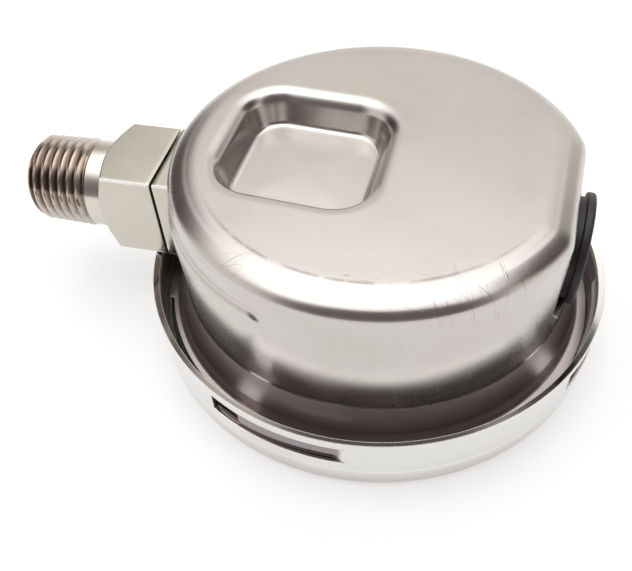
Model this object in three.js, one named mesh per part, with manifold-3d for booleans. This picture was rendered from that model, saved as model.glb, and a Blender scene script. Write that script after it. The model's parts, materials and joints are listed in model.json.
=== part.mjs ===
// Bourdon-tube pressure gauge with a stainless case, a bayonet bezel and a side-facing threaded socket.
// Millimetres. +Z points to the gauge's back, -X along the threaded socket, and the origin is the centre
// of the window's outer face. Seen from the front, +X is up and +Y is right.

import * as THREE from 'three';
import { mergeVertices } from 'three/addons/utils/BufferGeometryUtils.js';
import Module from 'manifold-3d';

const wasm = await Module();
wasm.setup();

// Driving dimensions
const GAP = 0.3; // working gap between separate pieces
const SHEET = 0.8; // thickness of the drawn case
const CASE_RADIUS = 29.1;
const CASE_BACK = 30.0; // height of the flat back
const SHOULDER_RADIUS = 7.0; // gentle curve from the flat back
const SHOULDER_TURN = THREE.MathUtils.degToRad(30);
const CORNER_RADIUS = 2.2; // tighter curve from there into the wall
const CASE_TWIST = THREE.MathUtils.degToRad(-5); // flat, plug and recess sit a little round
const FLAT_DISTANCE = 27.3; // axis to the outside of the wall's flat
const FLAT_BOTTOM = 8.5;
const FLANGE_RADIUS = 33.0;
const FLARE_RADIUS = 31.2; // foot of the flare between the flange and the wall
const FLARE_MIDDLE = { radius: 30.9, z: 7.4 };
const FLARE_TOP = 10.8;
const BEZEL_RADIUS = 34.5;
const BEZEL_WALL = 0.9;
const BEZEL_FRONT = -1.2;
const BEZEL_REAR = 10.3;
const BEZEL_CREASE = 3.7;
const SIGHT_RADIUS = 30.4; // opening of the bezel's front lip
const WINDOW_RADIUS = 32.9;
const WINDOW_THICKNESS = 2.0;
const GASKET_THICKNESS = 1.5;
const GASKET_INNER = 29.4;
const TAB_COUNT = 4;
const TAB_PITCH = (2 * Math.PI) / TAB_COUNT;
const SLOT_START = THREE.MathUtils.degToRad(-120);
const SLOT_ANGLE = THREE.MathUtils.degToRad(33.5);
const SLOT_LOW = 5.5;
const SLOT_HIGH = 8.8;
const TAB_FREE_BEND = 0.6; // how far a tab's free end is pressed in
const TAB_BEND = 1.1; // how far its deepest part is pressed in
const TAB_DEEPEST = 0.7; // place of the deepest part along the tab, from the free end
const TAB_KINK = 0.12; // share of the tab's length in which it returns to the wall
const NOTCH_RADIUS = 32.2; // bottom of the notches that let the tabs pass the flange
const UNLOCK_TURN = THREE.MathUtils.degToRad(40);

const PORT_HEIGHT = 17.4; // height of the socket's axis
const THREAD_END = -53.9;
const THREAD_RADIUS = 6.8; // quarter-inch tapered pipe thread
const THREAD_PITCH = 25.4 / 18;
const THREAD_TURNS = 6;
const THREAD_DEPTH = 0.95;
const THREAD_TAPER = 1 / 32; // radius gained per length
const BLOCK_OUTER = -41.2;
const BLOCK_INNER = -32.1;
const BLOCK_SIDE = 14.0;
const BLOCK_TURNED = 6.9; // radius where the turned-down corners meet the block's end face
const BLOCK_CHAMFER = 1.6; // length of the turned-down corners
const NECK_RADIUS = 6.7;
const NECK_LENGTH = 2.6;
const GROOVE = 0.6;
const STEM_RADIUS = 5.5;
const INNER_BLOCK = { x: [-27.6, -15], y: [-6, 6], z: [11, 23.6] };
const BORE_RADIUS = 2.8; // port's bore, as far as the restrictor
const BORE_LENGTH = 8;
const NARROW_BORE = 1.5;
const CROSS_BORE = { x: -22.3, radius: 1.1 }; // from the narrow bore to the tube's root

const RECESS = { x: [-21.3, 1.3], y: [-12.8, 10.0], depth: 5.0, slope: 1.6, corner: 4.4 };

const PLUG_RADIUS = 7.8;
const PLUG_HEIGHT = 18.6;
const PLUG_HOLE = 5.3;

const DIAL_RADIUS = 27.3;
const DIAL_FRONT = 6.9;
const DIAL_THICKNESS = 0.6;
const DIAL_SCREW_OFFSET = 8.5;
const DIAL_SCREW_HOLE = 1.1;
const POINTER_FRONT = 4.6;
const POINTER_THICKNESS = 0.4;
const POINTER_LENGTH = 21.5;
const POINTER_TAIL = 8;
const POINTER_SHAFT_RADIUS = 0.4; // front end of the pinion's arbor
const HUB_SLEEVE_RADIUS = 1.0;
const ZERO_ANGLE = THREE.MathUtils.degToRad(-135);
const STOP_ANGLE = THREE.MathUtils.degToRad(-140.5);
const STOP_RADIUS = 15;
const STOP_PIN_RADIUS = 0.5;

const PLATE_THICKNESS = 1.2;
const FRONT_PLATE = 9.5;
const BACK_PLATE = 18.5;
const BACK_PLATE_EDGE = -14.5;
const PILLARS = [
  [-12.6, -3],
  [6.5, -2.5],
  [-12.6, 4.8],
];

const SECTOR_PIVOT = new THREE.Vector2(-7.34, 8.93);
const PINION_TEETH = 10;
const SECTOR_TEETH = 100;
const TOOTH_MODULE = (2 * SECTOR_PIVOT.length()) / (PINION_TEETH + SECTOR_TEETH);
const SECTOR_LOW = 14.0;
const SECTOR_THICKNESS = 1.0;
const TAIL_END = new THREE.Vector2(-8.79, 15.19);
const TIP_PIVOT = new THREE.Vector2(-1, 17);
const LINK_LOW = SECTOR_LOW + SECTOR_THICKNESS + GAP;
const LINK_THICKNESS = 0.6;
const LUG_THICKNESS = 1.2; // lug on the tube's tip

const TUBE_RADIUS = 22.5;
const TUBE_START = THREE.MathUtils.degToRad(-170);
const TUBE_END = THREE.MathUtils.degToRad(90);
const TUBE_WIDTH = 7.0;
const TUBE_DEPTH = 3.0;
const TUBE_WALL = 0.4;

// Finishes
const STAINLESS = [0xc4bdb4, 0.34, 1.0];
const POLISHED = [0xdcdad6, 0.16, 1.0];
const TURNED = [0xb7b2a2, 0.3, 1.0];
const BLACK_RUBBER = [0x241c22, 0.7, 0.0];
const BRASS = [0xb08d4e, 0.35, 1.0];
const SPRING_STEEL = [0x9aa0a6, 0.3, 1.0];
const WHITE_ENAMEL = [0xf2f1ec, 0.5, 0.0];
const BLACK_ENAMEL = [0x151515, 0.45, 0.0];
const GLASS = [0xeaf2f0, 0.05, 0.0];

const gauge = new THREE.Group();

// ---------- Geometry helpers ----------

// Turns a closed geometry into a manifold solid, with its faces pointing out.
function solid(geometry) {
  const bare = geometry.clone();
  bare.deleteAttribute('normal');
  bare.deleteAttribute('uv');
  const merged = mergeVertices(bare, 1e-4);
  const position = merged.getAttribute('position');
  const corners = [];
  let volume = 0;
  const point = [new THREE.Vector3(), new THREE.Vector3(), new THREE.Vector3()];
  for (let i = 0; i < merged.index.count; i += 3) {
    const triangle = [0, 1, 2].map((k) => merged.index.getX(i + k));
    if (new Set(triangle).size < 3) continue;
    corners.push(...triangle);
    triangle.forEach((corner, k) => point[k].fromBufferAttribute(position, corner));
    volume += point[0].dot(point[1].clone().cross(point[2]));
  }
  const triVerts = new Uint32Array(volume < 0 ? corners.reverse() : corners);
  return new wasm.Manifold(new wasm.Mesh({ numProp: 3, vertProperties: position.array, triVerts }));
}

// Adds a named solid to the gauge with its finish.
function addPiece(name, body, [color, roughness, metalness]) {
  const mesh = body.getMesh();
  const geometry = new THREE.BufferGeometry();
  geometry.setAttribute('position', new THREE.BufferAttribute(mesh.vertProperties, 3));
  geometry.setIndex(new THREE.BufferAttribute(mesh.triVerts, 1));
  geometry.computeVertexNormals();
  const material = new THREE.MeshStandardMaterial({ color, roughness, metalness });
  const piece = new THREE.Mesh(geometry, material);
  piece.name = name;
  gauge.add(piece);
}

const point2 = ([x, y]) => new THREE.Vector2(x, y);
const polar = (radius, angle) => [radius * Math.cos(angle), radius * Math.sin(angle)];

// Points of an arc from angle a to angle b.
function arc(cx, cy, radius, a, b, steps) {
  const points = [];
  for (let i = 0; i <= steps; i += 1) {
    const [x, y] = polar(radius, a + ((b - a) * i) / steps);
    points.push([cx + x, cy + y]);
  }
  return points;
}

// Body of revolution about Z: profile points are [radius, height].
function turned(profile, segments = 16) {
  const geometry = new THREE.LatheGeometry(profile.map(point2), segments);
  return solid(geometry.rotateX(Math.PI / 2));
}

// Body of revolution about the socket's axis: profile points are [radius, x].
function turnedOnPort(profile, segments = 20) {
  const geometry = new THREE.LatheGeometry(profile.map(point2), segments);
  geometry.rotateX(Math.PI / 2).rotateY(Math.PI / 2).translate(0, 0, PORT_HEIGHT);
  return solid(geometry);
}

// Cylinder on the socket's axis.
function portCylinder(radius, from, to, segments = 20) {
  return turnedOnPort([[0, from], [radius, from], [radius, to], [0, to]], segments);
}

// Disc, ring or tube about Z through (x, y).
function ring(outer, inner, low, high, segments = 16, [x, y] = [0, 0]) {
  const profile =
    inner > 0
      ? [[inner, low], [outer, low], [outer, high], [inner, high], [inner, low]]
      : [[0, low], [outer, low], [outer, high], [0, high]];
  return turned(profile, segments).translate([x, y, 0]);
}

function disc(radius, low, high, segments = 12, centre = [0, 0]) {
  return ring(radius, 0, low, high, segments, centre);
}

// Upright prism on an outline of [x, y] points.
function prism(outline, low, high) {
  const shape = new THREE.Shape(outline.map(point2));
  const geometry = new THREE.ExtrudeGeometry(shape, { depth: high - low, bevelEnabled: false });
  return solid(geometry.translate(0, 0, low));
}

function box([x0, x1], [y0, y1], [z0, z1]) {
  const geometry = new THREE.BoxGeometry(x1 - x0, y1 - y0, z1 - z0);
  return solid(geometry.translate((x0 + x1) / 2, (y0 + y1) / 2, (z0 + z1) / 2));
}

// Ring sector between two radii and two angles.
function sectorPrism(inner, outer, a, b, low, high, steps = 8) {
  const outline = [...arc(0, 0, outer, a, b, steps), ...arc(0, 0, inner, b, a, steps)];
  return prism(outline, low, high);
}

function roundedRectangle([x0, x1], [y0, y1], corner, steps = 3) {
  const quarter = Math.PI / 2;
  return [
    ...arc(x1 - corner, y0 + corner, corner, -quarter, 0, steps),
    ...arc(x1 - corner, y1 - corner, corner, 0, quarter, steps),
    ...arc(x0 + corner, y1 - corner, corner, quarter, 2 * quarter, steps),
    ...arc(x0 + corner, y0 + corner, corner, 2 * quarter, 3 * quarter, steps),
  ];
}

const twist = (body) => body.rotate([0, 0, THREE.MathUtils.radToDeg(CASE_TWIST)]);

// ---------- Case, bezel and window ----------

const FLANGE_FRONT = WINDOW_THICKNESS + GASKET_THICKNESS + 2 * GAP;
const FLANGE_REAR = FLANGE_FRONT + SHEET;
const CASE_SEGMENTS = 48;
const FAR = 60; // reach of a cutting box

// Solid inside the case's outer skin, or inside its inner skin when inset is the sheet's thickness.
function caseForm(inset) {
  const radius = CASE_RADIUS - inset;
  const back = CASE_BACK - inset;
  const quarter = Math.PI / 2;
  const cornerX = CASE_RADIUS - CORNER_RADIUS;
  const shoulderX = cornerX - (SHOULDER_RADIUS - CORNER_RADIUS) * Math.sin(SHOULDER_TURN);
  const shoulderZ = CASE_BACK - SHOULDER_RADIUS;
  const cornerZ = shoulderZ + (SHOULDER_RADIUS - CORNER_RADIUS) * Math.cos(SHOULDER_TURN);
  const low = inset > 0 ? FLANGE_FRONT - 1 : FLANGE_FRONT;
  const flareLow = FLANGE_REAR - inset;
  const flareRadius = FLARE_RADIUS - inset * 0.8;
  const profile = [
    [0, low],
    [inset > 0 ? flareRadius : FLANGE_RADIUS, low],
    [inset > 0 ? flareRadius : FLANGE_RADIUS, flareLow],
    [flareRadius, flareLow],
    [FLARE_MIDDLE.radius - inset, FLARE_MIDDLE.z],
    [radius, FLARE_TOP],
    ...arc(cornerX, cornerZ, CORNER_RADIUS - inset, 0, quarter - SHOULDER_TURN, 3),
    ...arc(shoulderX, shoulderZ, SHOULDER_RADIUS - inset, quarter - SHOULDER_TURN, quarter, 2).slice(1),
    [0, back],
  ];
  const form = turned(profile, CASE_SEGMENTS);
  const flat = FLAT_DISTANCE - inset;
  const cutter = box([flat, FAR], [-FAR, FAR], [FLAT_BOTTOM + inset, CASE_BACK + 1]);
  return form.subtract(twist(cutter)).subtract(twist(recessForm(inset)));
}

// The pressed recess in the back, grown by the sheet's thickness for the inner skin.
function recessForm(grow) {
  const { x, y, depth, slope, corner } = RECESS;
  const floor = roundedRectangle(
    [x[0] + slope - grow, x[1] - slope + grow],
    [y[0] + slope - grow, y[1] - slope + grow],
    corner + grow,
  );
  const shape = new THREE.Shape(floor.map(point2));
  const geometry = new THREE.ExtrudeGeometry(shape, {
    depth: 1,
    bevelThickness: depth,
    bevelSize: slope,
    bevelSegments: 1,
  });
  return solid(geometry.translate(0, 0, CASE_BACK - grow));
}

function makeCase() {
  let body = caseForm(0).subtract(caseForm(SHEET));
  const slotSpan = THREE.MathUtils.degToRad(3);
  for (let i = 0; i < TAB_COUNT; i += 1) {
    const start = SLOT_START - UNLOCK_TURN + i * TAB_PITCH - slotSpan / 2;
    const end = start + SLOT_ANGLE + slotSpan;
    const notch = sectorPrism(NOTCH_RADIUS, FAR, start, end, FLANGE_FRONT - 1, FLANGE_REAR + 0.2);
    body = body.subtract(notch);
  }
  const stemHole = portCylinder(STEM_RADIUS + GAP, -FAR, -FAR / 3, 32);
  const plugHole = plugCylinder(PLUG_HOLE, FAR / 3, FAR);
  return body.subtract(stemHole).subtract(twist(plugHole));
}

function makeBezel() {
  const inner = BEZEL_RADIUS - BEZEL_WALL;
  const lipTop = -GAP;
  const profile = [
    [SIGHT_RADIUS, lipTop],
    [SIGHT_RADIUS, BEZEL_FRONT + 0.2],
    [SIGHT_RADIUS + 0.4, BEZEL_FRONT],
    ...arc(BEZEL_RADIUS - 2.3, BEZEL_FRONT + 2, 2, -Math.PI / 2, 0, 5),
    [BEZEL_RADIUS - 0.3, BEZEL_CREASE - 0.3],
    [BEZEL_RADIUS, BEZEL_CREASE],
    [BEZEL_RADIUS, BEZEL_REAR],
    [inner, BEZEL_REAR],
    [inner, 0.3],
    [inner - 0.6, lipTop],
    [SIGHT_RADIUS, lipTop],
  ];
  let body = turned(profile, CASE_SEGMENTS);
  for (let i = 0; i < TAB_COUNT; i += 1) {
    const start = SLOT_START + i * TAB_PITCH;
    const end = start + SLOT_ANGLE;
    const slot = sectorPrism(inner - 1, BEZEL_RADIUS + 1, start, end, SLOT_LOW, SLOT_HIGH);
    body = body.subtract(slot).add(bezelTab(start));
  }
  return body;
}

// Round pane whose face stands a little proud inside the bezel's lip.
function makeWindow() {
  const face = SIGHT_RADIUS - GAP;
  const profile = [
    [0, 0],
    [face, 0],
    [face + 0.1, 0.1],
    [WINDOW_RADIUS, 0.1],
    [WINDOW_RADIUS, WINDOW_THICKNESS],
    [0, WINDOW_THICKNESS],
  ];
  return turned(profile, CASE_SEGMENTS);
}

// Lanced tab: joined to the wall at the slot's end, and pressed inwards as far as its free end.
function bezelTab(start) {
  const free = start + 0.22 * SLOT_ANGLE;
  const root = start + SLOT_ANGLE + THREE.MathUtils.degToRad(1);
  const steps = 8;
  const bend = (t) => {
    const deep = TAB_FREE_BEND + (TAB_BEND - TAB_FREE_BEND) * Math.min(1, t / TAB_DEEPEST);
    return deep * Math.min(1, (1 - t) / TAB_KINK);
  };
  const edge = (radius) => {
    const points = [];
    for (let i = 0; i <= steps; i += 1) {
      const t = i / steps;
      points.push(polar(radius - bend(t), free + (root - free) * t));
    }
    return points;
  };
  const outer = edge(BEZEL_RADIUS - 0.05);
  const inner = edge(BEZEL_RADIUS - BEZEL_WALL + 0.05);
  const outline = [...outer, ...inner.reverse()];
  return prism(outline, SLOT_LOW + GAP, SLOT_HIGH - GAP);
}

// ---------- Blow-out plug ----------

// Cylinder along the flat's normal at the plug's height, before the twist.
function plugCylinder(radius, from, to, segments = 24) {
  const geometry = new THREE.CylinderGeometry(radius, radius, to - from, segments);
  geometry.rotateZ(Math.PI / 2).translate((from + to) / 2, 0, PLUG_HEIGHT);
  return solid(geometry);
}

function makePlug() {
  const seat = FLAT_DISTANCE + 0.1;
  const collar = plugCylinder(PLUG_RADIUS - 0.7, seat, seat + 1.1, 24);
  const head = plugCylinder(PLUG_RADIUS, seat + 1, seat + 2.2, 24);
  const stem = plugCylinder(PLUG_HOLE - GAP, FLAT_DISTANCE - SHEET - 1.6, seat + 0.5);
  const hollow = plugCylinder(PLUG_HOLE - 1.8, FLAT_DISTANCE - SHEET - 3, seat - 0.4);
  return twist(collar.add(head).add(stem).subtract(hollow));
}

// ---------- Socket ----------

// Threaded shank with ridges at the thread's pitch, then a plain neck up to the wrench block.
function threadProfile() {
  const tip = THREAD_END;
  const profile = [[0, tip], [THREAD_RADIUS - THREAD_DEPTH - 0.3, tip]];
  const first = tip + 0.5;
  for (let i = 0; i < THREAD_TURNS; i += 1) {
    const root = first + i * THREAD_PITCH;
    const crest = root + THREAD_PITCH / 2;
    const radius = THREAD_RADIUS - 0.2 + (crest - tip) * THREAD_TAPER;
    profile.push([radius - THREAD_DEPTH, root], [radius, crest - 0.1], [radius, crest + 0.1]);
  }
  const neck = BLOCK_OUTER - NECK_LENGTH;
  profile.push([THREAD_RADIUS - THREAD_DEPTH, neck - 0.3], [NECK_RADIUS, neck]);
  profile.push([NECK_RADIUS, BLOCK_OUTER + 0.5]);
  profile.push([0, BLOCK_OUTER + 0.5]);
  return profile;
}

// Square wrench block whose outer corners are turned down.
function wrenchBlock() {
  const half = BLOCK_SIDE / 2;
  const corner = half * Math.SQRT2;
  const height = [PORT_HEIGHT - half, PORT_HEIGHT + half];
  const square = box([BLOCK_OUTER, BLOCK_INNER], [-half, half], height);
  const cone = turnedOnPort([
    [0, BLOCK_OUTER - 1],
    [BLOCK_TURNED, BLOCK_OUTER - 1],
    [BLOCK_TURNED, BLOCK_OUTER],
    [corner + 0.1, BLOCK_OUTER + BLOCK_CHAMFER],
    [corner + 0.1, BLOCK_INNER + 1],
    [0, BLOCK_INNER + 1],
  ]);
  return square.intersect(cone);
}

function makeSocket() {
  const { x, y, z } = INNER_BLOCK;
  const stem = portCylinder(STEM_RADIUS, BLOCK_INNER - 1, x[0] + 1);
  const boreEnd = CROSS_BORE.x + 0.7;
  const portBore = turnedOnPort([
    [0, THREAD_END - 1],
    [BORE_RADIUS, THREAD_END - 1],
    [BORE_RADIUS, THREAD_END + BORE_LENGTH],
    [NARROW_BORE, THREAD_END + BORE_LENGTH + 1],
    [NARROW_BORE, boreEnd],
    [0, boreEnd],
  ], 24);
  const crossLength = 4.5;
  const crossBore = solid(
    new THREE.CylinderGeometry(CROSS_BORE.radius, CROSS_BORE.radius, crossLength, 16)
      .translate(CROSS_BORE.x, -crossLength / 2, PORT_HEIGHT),
  );
  let body = turnedOnPort(threadProfile()).add(wrenchBlock()).add(stem).add(box(x, y, z));
  body = body.subtract(portBore).subtract(crossBore).subtract(tubePocket());
  for (const side of [-1, 1]) {
    const place = [MOVEMENT_SCREW_X, side * MOVEMENT_SCREW_Y];
    body = body.subtract(disc(MOVEMENT_SCREW_HOLE, z[0] - 1, MOVEMENT_SCREW_END + GAP, 16, place));
  }
  return body;
}

// Pocket in the inner block that takes the Bourdon tube's root.
function tubePocket() {
  const half = TUBE_DEPTH / 2 + GAP;
  const rise = TUBE_WIDTH / 2 + GAP;
  const start = TUBE_START - THREE.MathUtils.degToRad(1);
  const end = THREE.MathUtils.degToRad(-150);
  return sectorPrism(
    TUBE_RADIUS - half, TUBE_RADIUS + half, start, end, PORT_HEIGHT - rise, PORT_HEIGHT + rise,
  );
}

// Square collar whose inner end follows the round case wall.
function makeSpacer() {
  const half = BLOCK_SIDE / 2;
  const bore = portCylinder(STEM_RADIUS + GAP, -FAR, 0);
  return box([BLOCK_INNER + GROOVE, -27], [-half, half], [PORT_HEIGHT - half, PORT_HEIGHT + half])
    .subtract(disc(CASE_RADIUS + GAP, 0, FAR, CASE_SEGMENTS))
    .subtract(bore);
}

function makeSeal() {
  const inner = STEM_RADIUS + GAP;
  const outer = BLOCK_SIDE / 2 - 0.8;
  const low = BLOCK_INNER + 0.1;
  const high = BLOCK_INNER + GROOVE - 0.1;
  return turnedOnPort([[inner, low], [outer, low], [outer, high], [inner, high], [inner, low]]);
}

function makeRestrictor() {
  const low = THREAD_END + 2;
  const high = THREAD_END + 6;
  const body = turnedOnPort([[0.5, low], [2.5, low], [2.5, high], [0.5, high], [0.5, low]], 24);
  const slot = box([low - 1, low + 0.8], [-3, 3], [PORT_HEIGHT - 0.3, PORT_HEIGHT + 0.3]);
  return body.subtract(slot);
}

// ---------- Bourdon tube ----------

class TubePath extends THREE.Curve {
  getPoint(t, target = new THREE.Vector3()) {
    const angle = TUBE_START + (TUBE_END - TUBE_START) * t;
    return target.set(TUBE_RADIUS * Math.cos(angle), TUBE_RADIUS * Math.sin(angle), PORT_HEIGHT);
  }
}

// Flattened section: wide along the gauge's axis, thin along the radius.
function tubeSection(inset) {
  const radius = TUBE_DEPTH / 2 - inset;
  const straight = TUBE_WIDTH / 2 - TUBE_DEPTH / 2;
  const quarter = Math.PI / 2;
  return [
    ...arc(straight, 0, radius, -quarter, quarter, 3),
    ...arc(-straight, 0, radius, quarter, 3 * quarter, 3),
  ];
}

function makeTube() {
  const shape = new THREE.Shape(tubeSection(0).map(point2));
  shape.holes.push(new THREE.Path(tubeSection(TUBE_WALL).map(point2)));
  const geometry = new THREE.ExtrudeGeometry(shape, { steps: 26, extrudePath: new TubePath() });
  return solid(geometry);
}

// Plug that closes the tube's free end, with the lug that the link's pin goes through.
function makeTubeTip() {
  const start = TUBE_END + GAP / TUBE_RADIUS;
  const end = start + THREE.MathUtils.degToRad(8);
  const half = TUBE_DEPTH / 2 + 0.3;
  const rise = TUBE_WIDTH / 2 + 0.3;
  const cap = sectorPrism(
    TUBE_RADIUS - half, TUBE_RADIUS + half, start, end, PORT_HEIGHT - rise, PORT_HEIGHT + rise, 4,
  );
  const lugLow = LINK_LOW + LINK_THICKNESS + GAP;
  const lugHigh = lugLow + LUG_THICKNESS;
  const { x, y } = TIP_PIVOT;
  const lug = prism([[x - 1.5, y], [x + 0.9, y], [x + 0.9, 21.2], [x - 1.5, 21.2]], lugLow, lugHigh);
  const eye = disc(1.6, lugLow, lugHigh, 20, [x, y]);
  return cap.add(lug).add(eye).subtract(disc(LINK_PIN_RADIUS + GAP, 0, FAR, 16, [x, y]));
}

function makeTipPin() {
  const lugHigh = LINK_LOW + LINK_THICKNESS + GAP + LUG_THICKNESS;
  const profile = [
    [0, LINK_LOW - 0.9],
    [1.1, LINK_LOW - 0.9],
    [1.1, LINK_LOW - GAP],
    [LINK_PIN_RADIUS, LINK_LOW - GAP],
    [LINK_PIN_RADIUS, lugHigh + GAP],
    [1.1, lugHigh + GAP],
    [1.1, lugHigh + 0.9],
    [0, lugHigh + 0.9],
  ];
  return turned(profile, 16).translate([TIP_PIVOT.x, TIP_PIVOT.y, 0]);
}

// ---------- Movement ----------

const MOVEMENT_SCREW_X = -19;
const MOVEMENT_SCREW_Y = 3.5;
const MOVEMENT_SCREW_RADIUS = 0.9;
const MOVEMENT_SCREW_HOLE = MOVEMENT_SCREW_RADIUS + GAP;
const MOVEMENT_SCREW_END = 16.0;
const PIVOT_RADIUS = 0.42;
const PIVOT_HOLE = 0.5;
const SECTOR_ARBOR_RADIUS = 0.75;
const LINK_PIN_RADIUS = 0.5;
const SPRING_LOW = 11.95;
const SPRING_HEIGHT = 0.5;
const SPRING_TURNS = 5;
const SPRING_INNER = 1.8;
const SPRING_OUTER = 4.9;
const STUD_ANGLE = THREE.MathUtils.degToRad(-90);
const STUD_RADIUS = SPRING_OUTER + 0.9;

// Plate with a lobe for the sector's arbor; the wings carry the dial's posts.
function movementPlate(low, left, wings) {
  const high = low + PLATE_THICKNESS;
  let body = prism(roundedRectangle([left, 8.8], [-6, 6], 1.5), low, high);
  body = body.add(prism(roundedRectangle([-12.5, -2.5], [3, 12.6], 2.5), low, high));
  if (wings) {
    body = body.add(prism(roundedRectangle([-2.6, 2.6], [-11, 11], 2), low, high));
  }
  for (const centre of PILLARS) {
    body = body.subtract(disc(0.9, low - 1, high + 1, 12, centre));
  }
  return body;
}

function makeFrontPlate() {
  let body = movementPlate(FRONT_PLATE, -23, true);
  const holes = [
    [0.55, 0, 0],
    [PIVOT_HOLE, SECTOR_PIVOT.x, SECTOR_PIVOT.y],
    [MOVEMENT_SCREW_HOLE, MOVEMENT_SCREW_X, MOVEMENT_SCREW_Y],
    [MOVEMENT_SCREW_HOLE, MOVEMENT_SCREW_X, -MOVEMENT_SCREW_Y],
    [DIAL_SCREW_HOLE, 0, DIAL_SCREW_OFFSET],
    [DIAL_SCREW_HOLE, 0, -DIAL_SCREW_OFFSET],
    [0.8, ...polar(STUD_RADIUS, STUD_ANGLE)],
  ];
  for (const [radius, x, y] of holes) {
    body = body.subtract(disc(radius, 0, 20, 12, [x, y]));
  }
  return body;
}

function makeBackPlate() {
  return movementPlate(BACK_PLATE, BACK_PLATE_EDGE, false)
    .subtract(disc(PIVOT_HOLE, 0, FAR))
    .subtract(disc(PIVOT_HOLE, 0, FAR, 16, SECTOR_PIVOT.toArray()));
}

// Shouldered pillar, riveted through both plates.
function makePillar(centre) {
  const low = FRONT_PLATE + PLATE_THICKNESS + GAP;
  const high = BACK_PLATE - GAP;
  const profile = [
    [0, FRONT_PLATE],
    [0.6, FRONT_PLATE],
    [0.6, low],
    [1.2, low],
    [1.2, high],
    [0.6, high],
    [0.6, BACK_PLATE + PLATE_THICKNESS],
    [0, BACK_PLATE + PLATE_THICKNESS],
  ];
  return turned(profile, 12).translate([...centre, 0]);
}

// Screw with its head towards the dial and a slot across the head.
function slottedScrew(headRadius, headLow, headHigh, shankRadius, end, [x, y]) {
  const profile = [
    [0, headLow],
    [headRadius, headLow],
    [headRadius, headHigh],
    [shankRadius, headHigh],
    [shankRadius, end],
    [0, end],
  ];
  const slot = box([-headRadius - 1, headRadius + 1], [-0.2, 0.2], [headLow - 1, headLow + 0.3]);
  return turned(profile, 12).subtract(slot).translate([x, y, 0]);
}

// Trapezoid teeth about the origin: tooth centres at first + i * pitch.
function teeth(count, total, first) {
  const pitchRadius = (TOOTH_MODULE * total) / 2;
  const tip = pitchRadius + 0.85 * TOOTH_MODULE;
  const root = pitchRadius - 1.2 * TOOTH_MODULE;
  const pitch = (2 * Math.PI) / total;
  const points = [];
  for (let i = 0; i < count; i += 1) {
    const middle = first + i * pitch;
    points.push(polar(root, middle - 0.32 * pitch), polar(tip, middle - 0.12 * pitch));
    points.push(polar(tip, middle + 0.12 * pitch), polar(root, middle + 0.32 * pitch));
  }
  return points;
}

function makeSectorGear() {
  const low = SECTOR_LOW;
  const high = SECTOR_LOW + SECTOR_THICKNESS;
  const pitch = (2 * Math.PI) / SECTOR_TEETH;
  const toPinion = Math.atan2(-SECTOR_PIVOT.y, -SECTOR_PIVOT.x);
  const before = 2;
  const after = 9;
  const rim = teeth(before + after + 1, SECTOR_TEETH, toPinion - before * pitch);
  const fan = prism([[0, 0], ...rim], low, high);
  const window = sectorPrism(
    4.4, 7.8, toPinion - 0.3 * pitch, toPinion + (after - before - 0.2) * pitch, low - 1, high + 1, 5,
  );
  const tail = TAIL_END.clone().sub(SECTOR_PIVOT);
  const side = new THREE.Vector2(-tail.y, tail.x).setLength(1.3);
  const arm = prism([
    [side.x, side.y],
    [-side.x, -side.y],
    [tail.x - side.x, tail.y - side.y],
    [tail.x + side.x, tail.y + side.y],
  ], low, high);
  return fan
    .subtract(window)
    .add(disc(2.6, low, high, 20))
    .add(arm)
    .add(disc(1.7, low, high, 20, tail.toArray()))
    .subtract(disc(SECTOR_ARBOR_RADIUS + GAP, 0, FAR))
    .subtract(disc(LINK_PIN_RADIUS + GAP, 0, FAR, 16, tail.toArray()))
    .translate([SECTOR_PIVOT.x, SECTOR_PIVOT.y, 0]);
}

// Arbor with a shoulder inside each plate and a pivot running in each plate.
function makeSectorArbor() {
  const low = FRONT_PLATE + PLATE_THICKNESS + GAP;
  const high = BACK_PLATE - GAP;
  const profile = [
    [0, FRONT_PLATE - 0.2],
    [PIVOT_RADIUS, FRONT_PLATE - 0.2],
    [PIVOT_RADIUS, low],
    [SECTOR_ARBOR_RADIUS, low],
    [SECTOR_ARBOR_RADIUS, high],
    [PIVOT_RADIUS, high],
    [PIVOT_RADIUS, BACK_PLATE + PLATE_THICKNESS + 0.2],
    [0, BACK_PLATE + PLATE_THICKNESS + 0.2],
  ];
  return turned(profile, 12).translate([SECTOR_PIVOT.x, SECTOR_PIVOT.y, 0]);
}

function makePinionArbor() {
  const low = FRONT_PLATE + PLATE_THICKNESS + GAP;
  const high = BACK_PLATE - GAP;
  const profile = [
    [0, POINTER_FRONT - 0.7],
    [POINTER_SHAFT_RADIUS, POINTER_FRONT - 0.7],
    [POINTER_SHAFT_RADIUS, FRONT_PLATE - 0.3],
    [0.47, FRONT_PLATE - 0.2],
    [0.47, low],
    [0.6, low],
    [0.6, high],
    [PIVOT_RADIUS, high],
    [PIVOT_RADIUS, BACK_PLATE + PLATE_THICKNESS + 0.2],
    [0, BACK_PLATE + PLATE_THICKNESS + 0.2],
  ];
  const toSector = Math.atan2(SECTOR_PIVOT.y, SECTOR_PIVOT.x);
  const first = toSector + Math.PI / PINION_TEETH;
  const pinion = prism(teeth(PINION_TEETH, PINION_TEETH, first), SECTOR_LOW - 0.5, SECTOR_LOW + 1.5);
  return turned(profile, 12).add(pinion);
}

class SpringPath extends THREE.Curve {
  getPoint(t, target = new THREE.Vector3()) {
    const angle = STUD_ANGLE - (1 - t) * SPRING_TURNS * 2 * Math.PI;
    const radius = SPRING_INNER + (SPRING_OUTER - SPRING_INNER) * t;
    const height = SPRING_LOW + SPRING_HEIGHT / 2;
    return target.set(radius * Math.cos(angle), radius * Math.sin(angle), height);
  }
}

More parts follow.
